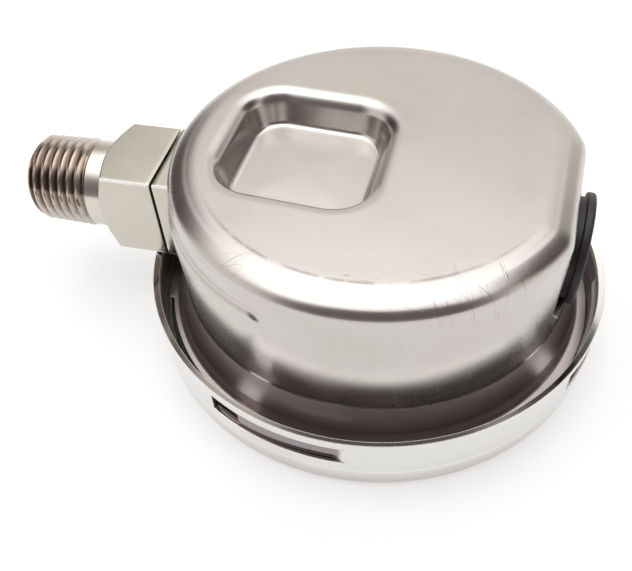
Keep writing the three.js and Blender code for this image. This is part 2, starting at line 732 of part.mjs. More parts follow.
function makeHairspring() {
  const half = SPRING_HEIGHT / 2;
  const thin = 0.08;
  const section = [[-half, -thin], [half, -thin], [half, thin], [-half, thin]];
  const shape = new THREE.Shape(section.map(point2));
  const steps = 14 * SPRING_TURNS;
  return solid(new THREE.ExtrudeGeometry(shape, { steps, extrudePath: new SpringPath() }));
}

// Flat link with an eye at each end.
function makeLink() {
  const high = LINK_LOW + LINK_THICKNESS;
  const along = TIP_PIVOT.clone().sub(TAIL_END);
  const side = new THREE.Vector2(-along.y, along.x).setLength(0.8);
  const a = TAIL_END;
  const b = TIP_PIVOT;
  const bar = prism([
    [a.x - side.x, a.y - side.y],
    [b.x - side.x, b.y - side.y],
    [b.x + side.x, b.y + side.y],
    [a.x + side.x, a.y + side.y],
  ], LINK_LOW, high);
  return bar
    .add(disc(1.5, LINK_LOW, high, 20, a.toArray()))
    .add(disc(1.7, LINK_LOW, high, 20, b.toArray()))
    .subtract(disc(LINK_PIN_RADIUS + GAP, 0, FAR, 16, a.toArray()))
    .subtract(disc(LINK_PIN_RADIUS + 0.5, 0, FAR, 16, b.toArray()));
}

// Shouldered screw that joins the link to the sector's tail.
function makeLinkScrew() {
  const top = LINK_LOW + LINK_THICKNESS + GAP;
  const profile = [
    [0, SECTOR_LOW - 0.9],
    [1.1, SECTOR_LOW - 0.9],
    [1.1, SECTOR_LOW - GAP],
    [LINK_PIN_RADIUS, SECTOR_LOW - GAP],
    [LINK_PIN_RADIUS, top],
    [1.2, top],
    [1.2, top + 0.6],
    [0, top + 0.6],
  ];
  return turned(profile, 16).translate([TAIL_END.x, TAIL_END.y, 0]);
}

// ---------- Dial and pointer ----------

function makeDial() {
  const high = DIAL_FRONT + DIAL_THICKNESS;
  let body = ring(DIAL_RADIUS, 1.5, DIAL_FRONT, high, 36);
  for (const side of [-1, 1]) {
    body = body.subtract(disc(DIAL_SCREW_HOLE, 0, FAR, 20, [0, side * DIAL_SCREW_OFFSET]));
  }
  return body.subtract(disc(STOP_PIN_RADIUS + GAP, 0, FAR, 16, polar(STOP_RADIUS, STOP_ANGLE)));
}

// Needle that tapers to its tip, with a short counterweight tail, along the zero direction.
function makePointer() {
  const outline = [
    [-POINTER_TAIL, -1.5],
    [-POINTER_TAIL + 2.5, -1.1],
    [0, -1.0],
    [POINTER_LENGTH - 4, -0.45],
    [POINTER_LENGTH, 0],
    [POINTER_LENGTH - 4, 0.45],
    [0, 1.0],
    [-POINTER_TAIL + 2.5, 1.1],
    [-POINTER_TAIL, 1.5],
  ];
  const high = POINTER_FRONT + POINTER_THICKNESS;
  return prism(outline, POINTER_FRONT, high)
    .add(disc(2.4, POINTER_FRONT, high, 20))
    .subtract(disc(HUB_SLEEVE_RADIUS + GAP, 0, FAR))
    .rotate([0, 0, THREE.MathUtils.radToDeg(ZERO_ANGLE)]);
}

// Bushing: its cap lies in front of the pointer and its sleeve takes the arbor's end.
function makePointerHub() {
  const capFront = POINTER_FRONT - 1.2;
  const capRear = POINTER_FRONT - GAP;
  return turned([
    [0, capFront],
    [2.0, capFront],
    [2.3, capFront + 0.3],
    [2.3, capRear],
    [HUB_SLEEVE_RADIUS, capRear],
    [HUB_SLEEVE_RADIUS, DIAL_FRONT - 0.9],
    [POINTER_SHAFT_RADIUS + GAP, DIAL_FRONT - 0.9],
    [POINTER_SHAFT_RADIUS + GAP, capFront + GAP],
    [0, capFront + GAP],
  ], 16);
}

// Pin through the dial that the needle rests against at zero.
function makeStopPin() {
  const front = POINTER_FRONT - 0.5;
  const rear = DIAL_FRONT + DIAL_THICKNESS + 0.4;
  return disc(STOP_PIN_RADIUS, front, rear, 12, polar(STOP_RADIUS, STOP_ANGLE));
}

// ---------- Assembly ----------

addPiece('case', makeCase(), STAINLESS);
addPiece('bezel_ring', makeBezel(), POLISHED);
addPiece('window', makeWindow(), GLASS);
const gasketLow = WINDOW_THICKNESS + GAP;
const gasket = ring(WINDOW_RADIUS, GASKET_INNER, gasketLow, gasketLow + GASKET_THICKNESS, 48);
addPiece('window_gasket', gasket, BLACK_RUBBER);
addPiece('blowout_plug', makePlug(), BLACK_RUBBER);

addPiece('socket', makeSocket(), TURNED);
addPiece('socket_spacer', makeSpacer(), TURNED);
addPiece('socket_seal', makeSeal(), BLACK_RUBBER);
addPiece('restrictor_screw', makeRestrictor(), BRASS);

addPiece('bourdon_tube', makeTube(), BRASS);
addPiece('tube_tip', makeTubeTip(), BRASS);
addPiece('tip_pin', makeTipPin(), SPRING_STEEL);

addPiece('movement_front_plate', makeFrontPlate(), BRASS);
addPiece('movement_back_plate', makeBackPlate(), BRASS);
PILLARS.forEach((centre, i) => addPiece(`movement_pillar_${i + 1}`, makePillar(centre), BRASS));
const screwHeadRear = FRONT_PLATE - GAP;
[-1, 1].forEach((side, i) => {
  const place = [MOVEMENT_SCREW_X, side * MOVEMENT_SCREW_Y];
  const screw = slottedScrew(
    1.9, screwHeadRear - 0.8, screwHeadRear, MOVEMENT_SCREW_RADIUS, MOVEMENT_SCREW_END, place,
  );
  addPiece(`movement_screw_${i + 1}`, screw, SPRING_STEEL);
});

addPiece('sector_gear', makeSectorGear(), BRASS);
addPiece('sector_arbor', makeSectorArbor(), SPRING_STEEL);
addPiece('link', makeLink(), BRASS);
addPiece('link_screw', makeLinkScrew(), SPRING_STEEL);
addPiece('pinion_arbor', makePinionArbor(), SPRING_STEEL);
addPiece('hairspring_collet', ring(1.4, 0.9, SPRING_LOW - 0.2, SPRING_LOW + 0.8), BRASS);
addPiece('hairspring', makeHairspring(), SPRING_STEEL);
const studEnd = SPRING_LOW + SPRING_HEIGHT + 0.3;
const stud = disc(0.5, FRONT_PLATE + 0.2, studEnd, 16, polar(STUD_RADIUS, STUD_ANGLE));
addPiece('hairspring_stud', stud, BRASS);

addPiece('dial_plate', makeDial(), WHITE_ENAMEL);
const dialRear = DIAL_FRONT + DIAL_THICKNESS;
for (const [name, side] of [['left', -1], ['right', 1]]) {
  const place = [0, side * DIAL_SCREW_OFFSET];
  addPiece(`dial_post_${name}`, ring(2, 1.1, dialRear + GAP, FRONT_PLATE - GAP, 16, place), BRASS);
  const headRear = DIAL_FRONT - GAP;
  const screw = slottedScrew(1.8, headRear - 0.6, headRear, 0.8, FRONT_PLATE + 1.4, place);
  addPiece(`dial_screw_${name}`, screw, SPRING_STEEL);
}
addPiece('zero_stop_pin', makeStopPin(), SPRING_STEEL);
addPiece('pointer', makePointer(), BLACK_ENAMEL);
addPiece('pointer_hub', makePointerHub(), BLACK_ENAMEL);

export default gauge;
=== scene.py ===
"""Looks of a Bourdon-tube pressure gauge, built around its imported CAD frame.

Lengths are written in millimetres and turned into metres as each mesh is made. +Z points to the
gauge's back and -X along its threaded socket; seen from the front, +X is up and +Y is right.
"""

import json
import math

import bmesh
import bpy
from mathutils import Matrix, Vector

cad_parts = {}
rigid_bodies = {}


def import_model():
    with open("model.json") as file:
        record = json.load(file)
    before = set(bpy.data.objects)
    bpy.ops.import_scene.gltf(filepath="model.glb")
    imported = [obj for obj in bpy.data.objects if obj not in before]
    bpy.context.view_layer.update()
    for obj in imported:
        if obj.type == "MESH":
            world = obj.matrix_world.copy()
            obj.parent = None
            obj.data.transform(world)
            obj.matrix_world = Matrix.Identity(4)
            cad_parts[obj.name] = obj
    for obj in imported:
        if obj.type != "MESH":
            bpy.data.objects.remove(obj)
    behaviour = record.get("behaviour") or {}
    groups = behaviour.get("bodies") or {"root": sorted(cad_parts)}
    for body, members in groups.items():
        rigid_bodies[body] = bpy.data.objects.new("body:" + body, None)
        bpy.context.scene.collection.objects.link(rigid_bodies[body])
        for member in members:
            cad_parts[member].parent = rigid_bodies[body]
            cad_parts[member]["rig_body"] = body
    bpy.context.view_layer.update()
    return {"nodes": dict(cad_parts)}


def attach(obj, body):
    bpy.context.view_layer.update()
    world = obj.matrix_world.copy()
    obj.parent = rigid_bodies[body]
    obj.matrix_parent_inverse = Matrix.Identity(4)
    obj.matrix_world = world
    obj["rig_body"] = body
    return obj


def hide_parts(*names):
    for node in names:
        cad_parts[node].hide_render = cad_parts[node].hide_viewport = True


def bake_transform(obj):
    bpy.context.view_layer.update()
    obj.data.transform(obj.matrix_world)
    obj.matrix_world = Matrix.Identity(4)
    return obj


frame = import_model()

MM = 0.001
TAU = 2 * math.pi

# ---------- Dimensions shared with the CAD model, in millimetres ----------

SHEET = 0.8
CASE_RADIUS = 29.1
CASE_BACK = 30.0
CASE_TWIST = math.radians(-5)
FLAT_DISTANCE = 27.3
FLAT_BOTTOM = 8.5
FLANGE_RADIUS = 33.0
FLANGE_REAR = 4.9
FLARE_RADIUS = 31.2
FLARE_MIDDLE = (30.9, 7.4)
FLARE_TOP = 10.8
SHOULDER_RADIUS = 7.0
SHOULDER_TURN = math.radians(30)
CORNER_RADIUS = 2.2
NOTCH_RADIUS = 32.2
UNLOCK_TURN = math.radians(40)

RECESS_CENTRE = (-10.0, -1.4)
RECESS_HALF = (9.7, 9.8)  # half sizes of the recess's floor
RECESS_CORNER = 4.4
RECESS_SKEW = 0.05  # how far its sides lean, per length
RECESS_DEPTH = 5.0
RECESS_SLOPE = 1.6
RECESS_ROLL = 2.6  # radius of the recess's rolled rim
PAD_REACH = math.radians(73)  # the wall is pressed out this far on each side of the socket
PAD_TOP = 24.9
PAD_CORNER = 3.0
PAD_RISE = 0.55

BEZEL_RADIUS = 34.5
BEZEL_WALL = 0.9
BEZEL_FRONT = -1.2
BEZEL_REAR = 10.3
BEZEL_CREASE = 3.7
FLOOR_GAP = 0.03  # between the bezel's front and the floor
SIGHT_RADIUS = 30.4
TAB_COUNT = 4
SLOT_START = math.radians(-120)
SLOT_ANGLE = math.radians(33.5)
SLOT_LOW = 5.5
SLOT_HIGH = 8.8
SLOT_GAP = 0.15
TAB_FREE = 0.22  # share of the slot that the tab leaves open
TAB_FREE_BEND = 0.35
TAB_BEND = 0.6
TAB_DEEPEST = 0.7
TAB_KINK = 0.12
TAB_TILT = 0.08  # how much further in the tab's rear edge is pressed, per height

PORT_HEIGHT = 17.4
THREAD_END = -53.9
THREAD_RADIUS = 6.8
THREAD_PITCH = 25.4 / 18
THREAD_DEPTH = 0.95
THREAD_TAPER = 1 / 32
BLOCK_OUTER = -41.2
BLOCK_INNER = -32.1
BLOCK_HALF = 7.0
BLOCK_TURNED = 6.9
BLOCK_CHAMFER = 1.6
NECK_RADIUS = 6.7
NECK_LENGTH = 2.6
GROOVE = 0.6
STEM_RADIUS = 5.5
STEM_HOLE = STEM_RADIUS + 0.3
BLOCK_EDGE = 0.36  # radius of the block's long edges
COLLAR_EDGE = 0.3
INNER_BLOCK = ((-27.6, -6, 11), (-15, 6, 23.6))
BORE_END = -21.6

PLUG_RADIUS = 7.8
PLUG_HEIGHT = 18.6
PLUG_HOLE = 5.3
PLUG_HEAD = 2.2
PLUG_FOOT = 1.05  # height of the narrower foot under the head


# ---------- Mesh helpers ----------


def add_object(name, data):
    obj = bpy.data.objects.new(name, data)
    bpy.context.scene.collection.objects.link(obj)
    return obj


def make_object(name, verts, faces, body, nodes=(), sharp=40):
    """Mesh object from millimetre points, riding on a body and standing for CAD nodes."""
    mesh = bpy.data.meshes.new(name)
    points = [tuple(float(c) * MM for c in v) for v in verts]
    mesh.from_pydata(points, [], [tuple(int(i) for i in f) for f in faces])
    mesh.validate()
    obj = add_object(name, mesh)
    return dress(obj, body, nodes, sharp)


def dress(obj, body, nodes=(), sharp=40):
    mesh = obj.data
    edit = bmesh.new()
    edit.from_mesh(mesh)
    bmesh.ops.remove_doubles(edit, verts=edit.verts, dist=1e-7)
    bmesh.ops.dissolve_degenerate(edit, edges=edit.edges, dist=1e-8)
    bmesh.ops.recalc_face_normals(edit, faces=edit.faces)
    edit.to_mesh(mesh)
    edit.free()
    mesh.shade_smooth()
    mesh.set_sharp_from_angle(angle=math.radians(sharp))
    if body:
        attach(obj, body)
    if nodes:
        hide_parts(*nodes)
    return obj


def break_edges(obj, width, angle):
    """Bevels the edges that are sharper than an angle in degrees."""
    edges = obj.modifiers.new("edges", "BEVEL")
    edges.width = width * MM
    edges.segments = 2
    edges.limit_method = "ANGLE"
    edges.angle_limit = math.radians(angle)


def grid_faces(rows, columns, wrap=True):
    """Quads between successive loops of equal length."""
    faces = []
    last = columns if wrap else columns - 1
    for j in range(rows - 1):
        for i in range(last):
            k = (i + 1) % columns
            faces.append((j * columns + i, j * columns + k, (j + 1) * columns + k, (j + 1) * columns + i))
    return faces


def rounded(points, radii, steps=4):
    """Open polyline whose inner corners are replaced by arcs of the given radii."""
    out = [tuple(points[0])]
    for i in range(1, len(points) - 1):
        before, here, after = (Vector(points[i + k]) for k in (-1, 0, 1))
        radius = radii[i - 1]
        if radius <= 0:
            out.append(tuple(here))
            continue
        a = (before - here).normalized()
        b = (after - here).normalized()
        half = a.angle(b) / 2
        reach = radius / math.tan(half)
        reach = min(reach, 0.48 * (before - here).length, 0.48 * (after - here).length)
        radius = reach * math.tan(half)
        centre = here + (a + b).normalized() * (radius / math.sin(half))
        start = here + a * reach - centre
        end = here + b * reach - centre
        turn = start.angle_signed(end)
        for k in range(steps + 1):
            step = Matrix.Rotation(-turn * k / steps, 2) @ start
            out.append(tuple(centre + step))
    out.append(tuple(points[-1]))
    return out


def revolve(profile, segments=96):
    """Vertices and faces of a profile of (radius, height) turned about Z."""
    verts = []
    for radius, height in profile:
        for i in range(segments):
            a = TAU * i / segments
            verts.append((radius * math.cos(a), radius * math.sin(a), height))
    return verts, grid_faces(len(profile), segments)


def on_port(verts):
    """Turns points made about Z, with heights along the port, onto the socket's axis."""
    return [(z, y, PORT_HEIGHT - x) for x, y, z in verts]


def twisted(verts):
    c, s = math.cos(CASE_TWIST), math.sin(CASE_TWIST)
    return [(c * x - s * y, s * x + c * y, z) for x, y, z in verts]


def cylinder_along_x(radius, low, high, height, segments=96):
    verts, _ = revolve([(radius, low), (radius, high)], segments)
    faces = grid_faces(2, segments)
    faces.append(tuple(range(segments)))
    faces.append(tuple(range(2 * segments - 1, segments - 1, -1)))
    return [(z, y, height - x) for x, y, z in verts], faces


def cut(obj, verts, faces):
    """Removes a closed shape from an object and keeps the result as its mesh."""
    mesh = bpy.data.meshes.new("cutter")
    mesh.from_pydata([tuple(c * MM for c in v) for v in verts], [], faces)
    cutter = add_object("cutter", mesh)
    modifier = obj.modifiers.new("cut", "BOOLEAN")
    modifier.operation = "DIFFERENCE"
    modifier.solver = "EXACT"
    modifier.object = cutter
    graph = bpy.context.evaluated_depsgraph_get()
    result = bpy.data.meshes.new_from_object(obj.evaluated_get(graph))
    obj.modifiers.clear()
    obj.data = result
    bpy.data.objects.remove(cutter)


def ray_to_rounded_rectangle(angle, a, b, corner):
    """Distance from the centre to a rounded rectangle's outline."""
    c, s = abs(math.cos(angle)), abs(math.sin(angle))
    if c > 1e-9 and s * a / c <= b - corner:
        return a / c
    if s > 1e-9 and c * b / s <= a - corner:
        return b / s
    cx, cy = a - corner, b - corner
    p = c * cx + s * cy
    return p + math.sqrt(max(p * p - (cx * cx + cy * cy - corner * corner), 0))


def smooth_min(a, b, k):
    h = min(max(0.5 + 0.5 * (b - a) / k, 0), 1)
    return b * (1 - h) + a * h - k * h * (1 - h)


def smooth_step(x):
    x = min(max(x, 0), 1)
    return x * x * (3 - 2 * x)


def lerp(a, b, t):
    return a + (b - a) * t


# ---------- Node helpers ----------


class Nodes:
    """Small builder for a material's node tree."""

    def __init__(self, name):
        self.material = bpy.data.materials.new(name)
        self.material.use_nodes = True
        self.tree = self.material.node_tree
        self.shader = self.tree.nodes["Principled BSDF"]
        self.place = self.add("ShaderNodeTexCoord").outputs["Object"]

    def add(self, kind, **values):
        node = self.tree.nodes.new(kind)
        for key, value in values.items():
            setattr(node, key, value)
        return node

    def link(self, source, target):
        self.tree.links.new(source, target)

    def set(self, **values):
        for key, value in values.items():
            self.shader.inputs[key.replace("_", " ")].default_value = value

    def scaled(self, scale, source=None):
        node = self.add("ShaderNodeMapping")
        node.inputs["Scale"].default_value = scale
        self.link(source or self.place, node.inputs["Vector"])
        return node.outputs["Vector"]

    def noise(self, scale, detail=3, roughness=0.5, vector=None, distortion=0):
        node = self.add("ShaderNodeTexNoise")
        node.inputs["Scale"].default_value = scale
        node.inputs["Detail"].default_value = detail
        node.inputs["Roughness"].default_value = roughness
        node.inputs["Distortion"].default_value = distortion
        self.link(vector or self.place, node.inputs["Vector"])
        return node.outputs["Fac"]

    def ramp(self, value, stops):
        node = self.add("ShaderNodeValToRGB")
        elements = node.color_ramp.elements
        while len(elements) > 1:
            elements.remove(elements[-1])
        for i, (position, color) in enumerate(stops):
            element = elements[0] if i == 0 else elements.new(position)
            element.position = position
            element.color = (*color, 1) if len(color) == 3 else color
        self.link(value, node.inputs["Fac"])
        return node.outputs["Color"]

    def remap(self, value, low, high, out_low, out_high):
        node = self.add("ShaderNodeMapRange")
        node.inputs["From Min"].default_value = low
        node.inputs["From Max"].default_value = high
        node.inputs["To Min"].default_value = out_low
        node.inputs["To Max"].default_value = out_high
        self.link(value, node.inputs["Value"])
        return node.outputs["Result"]

    def math(self, operation, a, b=0.0):
        node = self.add("ShaderNodeMath", operation=operation)
        for socket, value in zip(node.inputs, (a, b)):
            if isinstance(value, (int, float)):
                socket.default_value = value
            else:
                self.link(value, socket)
        return node.outputs[0]

    def times(self, a, b):
        return self.math("MULTIPLY", a, b)

    def plus(self, a, b):
        return self.math("ADD", a, b)

    def mix(self, factor, a, b, mode="MIX"):
        node = self.add("ShaderNodeMix", data_type="RGBA", blend_type=mode)
        for key, value in ((0, factor), (6, a), (7, b)):
            socket = node.inputs[key]
            if isinstance(value, (int, float)):
                socket.default_value = value
            elif isinstance(value, tuple):
                socket.default_value = (*value, 1)
            else:
                self.link(value, socket)
        return node.outputs[2]

    def bump(self, height, strength, distance, normal=None):
        node = self.add("ShaderNodeBump")
        node.inputs["Strength"].default_value = strength
        node.inputs["Distance"].default_value = distance
        self.link(height, node.inputs["Height"])
        if normal:
            self.link(normal, node.inputs["Normal"])
        return node.outputs["Normal"]

    def finish(self, color=None, roughness=None, normal=None):
        for key, value in (("Base Color", color), ("Roughness", roughness), ("Normal", normal)):
            if value is not None:
                self.link(value, self.shader.inputs[key])
        return self.material


def scratches(n, scale, stretch, angle, threshold):
    """Thin lines: 1 on a scratch and 0 elsewhere, running along one direction."""
    turned = n.add("ShaderNodeMapping")
    turned.inputs["Rotation"].default_value = (0, 0, math.radians(angle))
    n.link(n.place, turned.inputs["Vector"])
    lines = n.noise(scale, 1, 0.5, n.scaled((1, stretch, stretch), turned.outputs["Vector"]))
    edge = n.math("ABSOLUTE", n.math("SUBTRACT", lines, 0.5))
    return n.remap(edge, 0, threshold, 1, 0)


def spot(n, centre, radius):
    """1 at a place on the object, falling to 0 at a distance, in millimetres."""
    offset = n.add("ShaderNodeVectorMath", operation="DISTANCE")
    n.link(n.place, offset.inputs[0])
    offset.inputs[1].default_value = [c * MM for c in centre]
    return n.remap(offset.outputs["Value"], 0, radius * MM, 1, 0)


def coordinates(n):
    parts = n.add("ShaderNodeSeparateXYZ")
    n.link(n.place, parts.inputs[0])
    return parts.outputs


def from_axis(n):
    """Distance from the gauge's axis, and height, in metres."""
    x, y, z = coordinates(n)
    squares = n.plus(n.times(x, x), n.times(y, y))
    return n.math("SQRT", squares), z


def tarnish(n, color, amount, shade):
    """Darkens a colour where amount is 1; it serves both real stains and marks and painted shade."""
    return n.mix(amount, color, n.mix(1.0, color, shade, "MULTIPLY"))


# Colour of the scuffs, and of the shoulder's dark line, which is partly painted shade.
SCUFF_AND_PAINTED_LINE_COLOR = (0.45, 0.38, 0.40)
SHOULDER_LINE_RADIUS = 24.7  # where the dark line, partly scuffing and partly painted shade, runs around the back
# Painted highlight colour for the wrench block's long edges.
EDGE_HIGHLIGHT_COLOR = (0.98, 0.97, 0.94)


def steel(
    name, tint, rough, grain, marks=0.3, painted_shade_and_darkening=(), scuffs=(), scuffed_and_shaded_line=None, painted_edge_highlight=None, dull=()
):
    """Stainless steel: tint varies a little, with a fine grain and crossing hairline scratches; optional
    masks add painted shade, a painted highlight and a partly painted dark line.
    """
    n = Nodes(name)
    n.set(Metallic=1.0)
    cloud = n.noise(70, 4, 0.55)
    fine = n.noise(2600, 2, 0.6)
    warm = (tint[0] * 0.96, tint[1] * 0.93, tint[2] * 0.94)
    green = (tint[0] * 0.96, tint[1] * 0.975, tint[2] * 0.93)
    color = n.ramp(cloud, [(0.3, warm), (0.5, tint), (0.7, green)])
    # Painted shade from masks such as the groove, tabs, sills and floor band; the thread's grooves are
    # darkened the same way.
    for mask, shade in painted_shade_and_darkening:
        color = tarnish(n, color, mask(n), shade)
    lines = n.math("MAXIMUM", scratches(n, 300, 0.04, 35, 0.03), scratches(n, 260, 0.035, -50, 0.03))
    worn = n.times(lines, n.remap(n.noise(45, 2), 0.52, 0.68, 0, 1))
    rough_map = n.remap(cloud, 0.3, 0.7, rough * 0.85, rough * 1.15)
    rough_map = n.plus(rough_map, n.times(fine, 0.06))
    rough_map = n.plus(rough_map, n.times(worn, 0.2 * marks))
    for mask, least in dull:
        rough_map = n.math("MAXIMUM", rough_map, n.times(mask(n), least))
    # Painted highlight: the edges are lightened to stand for their bright reflection, and made rougher.
    if painted_edge_highlight:
        bright = painted_edge_highlight(n)
        color = n.mix(bright, color, EDGE_HIGHLIGHT_COLOR)
        rough_map = n.plus(rough_map, n.times(bright, 0.4))
    normal = n.bump(fine, grain, 0.00002)
    normal = n.bump(worn, 0.12 * marks, 0.00002, normal)
    # Dark line at the shoulder: partly scuffing and partly painted shade.
    if scuffed_and_shaded_line:
        line = scuffed_and_shaded_line(n)
        color = tarnish(n, color, n.times(line, 0.7), SCUFF_AND_PAINTED_LINE_COLOR)
        rough_map = n.plus(rough_map, n.times(line, 0.15))
    for centre, radius, angle in scuffs:
        along = scratches(n, 700, 0.03, angle, 0.008)
        across = scratches(n, 640, 0.035, angle + 40, 0.006)
        hairs = n.math("MAXIMUM", along, across)
        hairs = n.times(hairs, n.remap(spot(n, centre, radius), 0, 0.5, 0, 1))
        color = tarnish(n, color, n.times(hairs, 0.4), SCUFF_AND_PAINTED_LINE_COLOR)
        normal = n.bump(hairs, 0.2, 0.00003, normal)
    return n.finish(color, rough_map, normal)


def in_case_groove(n):
    """1 on the flare and flange of the case, behind the bezel's wall, where the colour gets painted
    shade.
    """
    distance, height = from_axis(n)
    low = n.remap(height, (FLARE_TOP - 0.6) * MM, (FLARE_TOP + 0.8) * MM, 1, 0)
    outer = n.remap(distance, (CASE_RADIUS - 0.1) * MM, (CASE_RADIUS + 0.2) * MM, 0, 1)
    return n.times(low, outer)


def inside_bezel(n):
    """1 on the bezel's duller inner face and on its front lip."""
    distance, _ = from_axis(n)
    inner = BEZEL_RADIUS - BEZEL_WALL
    return n.remap(distance, (inner + 0.03) * MM, (inner + 0.08) * MM, 1, 0)


def near_floor(n):
    """Rises from 0 below the bezel's crease to 1 at its front lip; this band, lip included, is darkened
    as a painted contact shadow.
    """
    _, height = from_axis(n)
    return n.remap(height, 0.2 * MM, (BEZEL_CREASE - 0.5) * MM, 1, 0)


def in_slots(n):
    """1 on the bezel's pressed tabs and on the wall's inside beside them, which get painted shade."""
    distance, height = from_axis(n)
    above = n.remap(height, (SLOT_LOW - 0.3) * MM, (SLOT_LOW - 0.2) * MM, 0, 1)
    below = n.remap(height, (SLOT_HIGH + 0.1) * MM, (SLOT_HIGH + 0.2) * MM, 1, 0)
    inner = n.remap(distance, (BEZEL_RADIUS - 0.3) * MM, (BEZEL_RADIUS - 0.06) * MM, 1, 0)
    return n.times(n.times(above, below), inner)


def on_slot_sills(n):
    """1 on the cut edge along the front side of each slot, which gets painted shade."""
    distance, height = from_axis(n)
    off = n.math("ABSOLUTE", n.math("SUBTRACT", height, SLOT_LOW * MM))
    level = n.remap(off, 0.04 * MM, 0.1 * MM, 1, 0)
    inner = n.remap(distance, (BEZEL_RADIUS - 0.1) * MM, (BEZEL_RADIUS - 0.02) * MM, 1, 0)
    return n.times(level, inner)


def near_shoulder(n):
    """A dark line where the flat back turns into the shoulder, on the near side only: partly scuffing and
    partly painted shade at the edge of the reflection.
    """
    distance, height = from_axis(n)
    off = n.math("ABSOLUTE", n.math("SUBTRACT", distance, SHOULDER_LINE_RADIUS * MM))
    upper = n.remap(height, (CASE_BACK - 1.5) * MM, (CASE_BACK - 1) * MM, 0, 1)
    line = n.times(n.remap(off, 0, 0.35 * MM, 1, 0), upper)
    y = coordinates(n)[1]
    near_side = n.remap(y, -12 * MM, -20 * MM, 0, 1)
    broken = n.remap(n.noise(260, 3, 0.6, n.scaled((1, 0.3, 1))), 0.4, 0.56, 0, 1)
    return n.times(n.times(line, near_side), broken)


def on_block_edges(n):
    """1 along the long edges of the wrench block, which are lightened as a painted highlight and made
    rougher.
    """
    _, y, z = coordinates(n)
    across = n.math("ABSOLUTE", y)
    rise = n.math("ABSOLUTE", n.math("SUBTRACT", z, PORT_HEIGHT * MM))
    least = n.math("MINIMUM", across, rise)
    return n.remap(least, (BLOCK_HALF - 0.38) * MM, (BLOCK_HALF - 0.25) * MM, 0, 1)


def in_thread_root(n):
    """1 in the thread's grooves, where the colour is darkened."""
    _, y, z = coordinates(n)
    rise = n.math("SUBTRACT", z, PORT_HEIGHT * MM)
    across = n.times(y, y)
    distance = n.math("SQRT", n.plus(across, n.times(rise, rise)))
    return n.remap(distance, (THREAD_RADIUS - 0.85) * MM, (THREAD_RADIUS - 0.3) * MM, 1, 0)


# ---------- Case ----------

CASE_COLUMNS = 480


def case_outline(angle, inset, flat):
    """Point of the case's plan outline on a ray from the recess's centre."""
    dx, dy = math.cos(angle), math.sin(angle)
    radius = CASE_RADIUS - inset
    cx, cy = RECESS_CENTRE
    p = cx * dx + cy * dy
    to_circle = -p + math.sqrt(p * p - cx * cx - cy * cy + radius * radius)
    reach = to_circle
    if dx > 0.05:
        to_flat = (flat - inset - cx) / dx
        reach = smooth_min(to_circle, to_flat, 0.45)
    return cx + reach * dx, cy + reach * dy


def pad_height(x, y, z):
    """How far the wall around the socket is pressed out, inside a crease with a rounded corner."""
    away = math.pi - abs(math.atan2(y, x))
    side = (PAD_REACH - away) * CASE_RADIUS
    upper = PAD_TOP - z
    inside = min(side, upper)
    if side < PAD_CORNER and upper < PAD_CORNER:
        inside = PAD_CORNER - math.hypot(PAD_CORNER - side, PAD_CORNER - upper)
    width = 0.75 + 0.8 * max(0, PAD_TOP - 1.5 - z)
    return PAD_RISE * smooth_step(inside / width) * smooth_step((z - 11) / 12)


def back_sag(x, y):
    """Slight unevenness of the pressed back."""
    broad = 0.035 * math.sin(0.17 * x + 0.6) * math.cos(0.15 * y - 0.4)
    return broad + 0.02 * math.sin(0.31 * y + 0.22 * x)


def recess_loops(angles, limits):
    """Loops from the middle of the recess's floor, up its wall and over its rolled rim."""
    half_x, half_y = RECESS_HALF
    cx, cy = RECESS_CENTRE
    floor = CASE_BACK - RECESS_DEPTH
    corners = [(-3.0, floor), (0, floor), (RECESS_SLOPE, CASE_BACK), (5.2, CASE_BACK)]
    section = rounded(corners, [1.0, RECESS_ROLL], 9)
    loops = []
    for share in (0.02, 0.2, 0.4, 0.6, 0.8, 0.92):
        crown = 0.12 * (1 - share * share)
        loop = []
        for a in angles:
            reach = share * ray_to_rounded_rectangle(a, half_x - 3, half_y - 3, RECESS_CORNER - 3)
            loop.append((cx + reach * math.cos(a), cy + reach * math.sin(a), floor + crown))
        loops.append(loop)
    wall = []
    for first, second in zip(section, section[1:]):
        steps = 5 if math.dist(first, second) > 1 else 1
        wall += [tuple(lerp(p, q, k / steps) for p, q in zip(first, second)) for k in range(steps)]
    for offset, z in wall:
        if offset > 4.2:
            break
        loop = []
        for a, edge in zip(angles, limits):
            reach = ray_to_rounded_rectangle(a, half_x + offset, half_y + offset, RECESS_CORNER + offset)
            if offset > 1.5:
                reach = smooth_min(reach, edge - (4.3 - offset) * 0.5, 0.5)
            loop.append((cx + reach * math.cos(a), cy + reach * math.sin(a), z))
        loops.append(loop)
    return [[(x - RECESS_SKEW * (y - cy), y, z) for x, y, z in loop] for loop in loops]


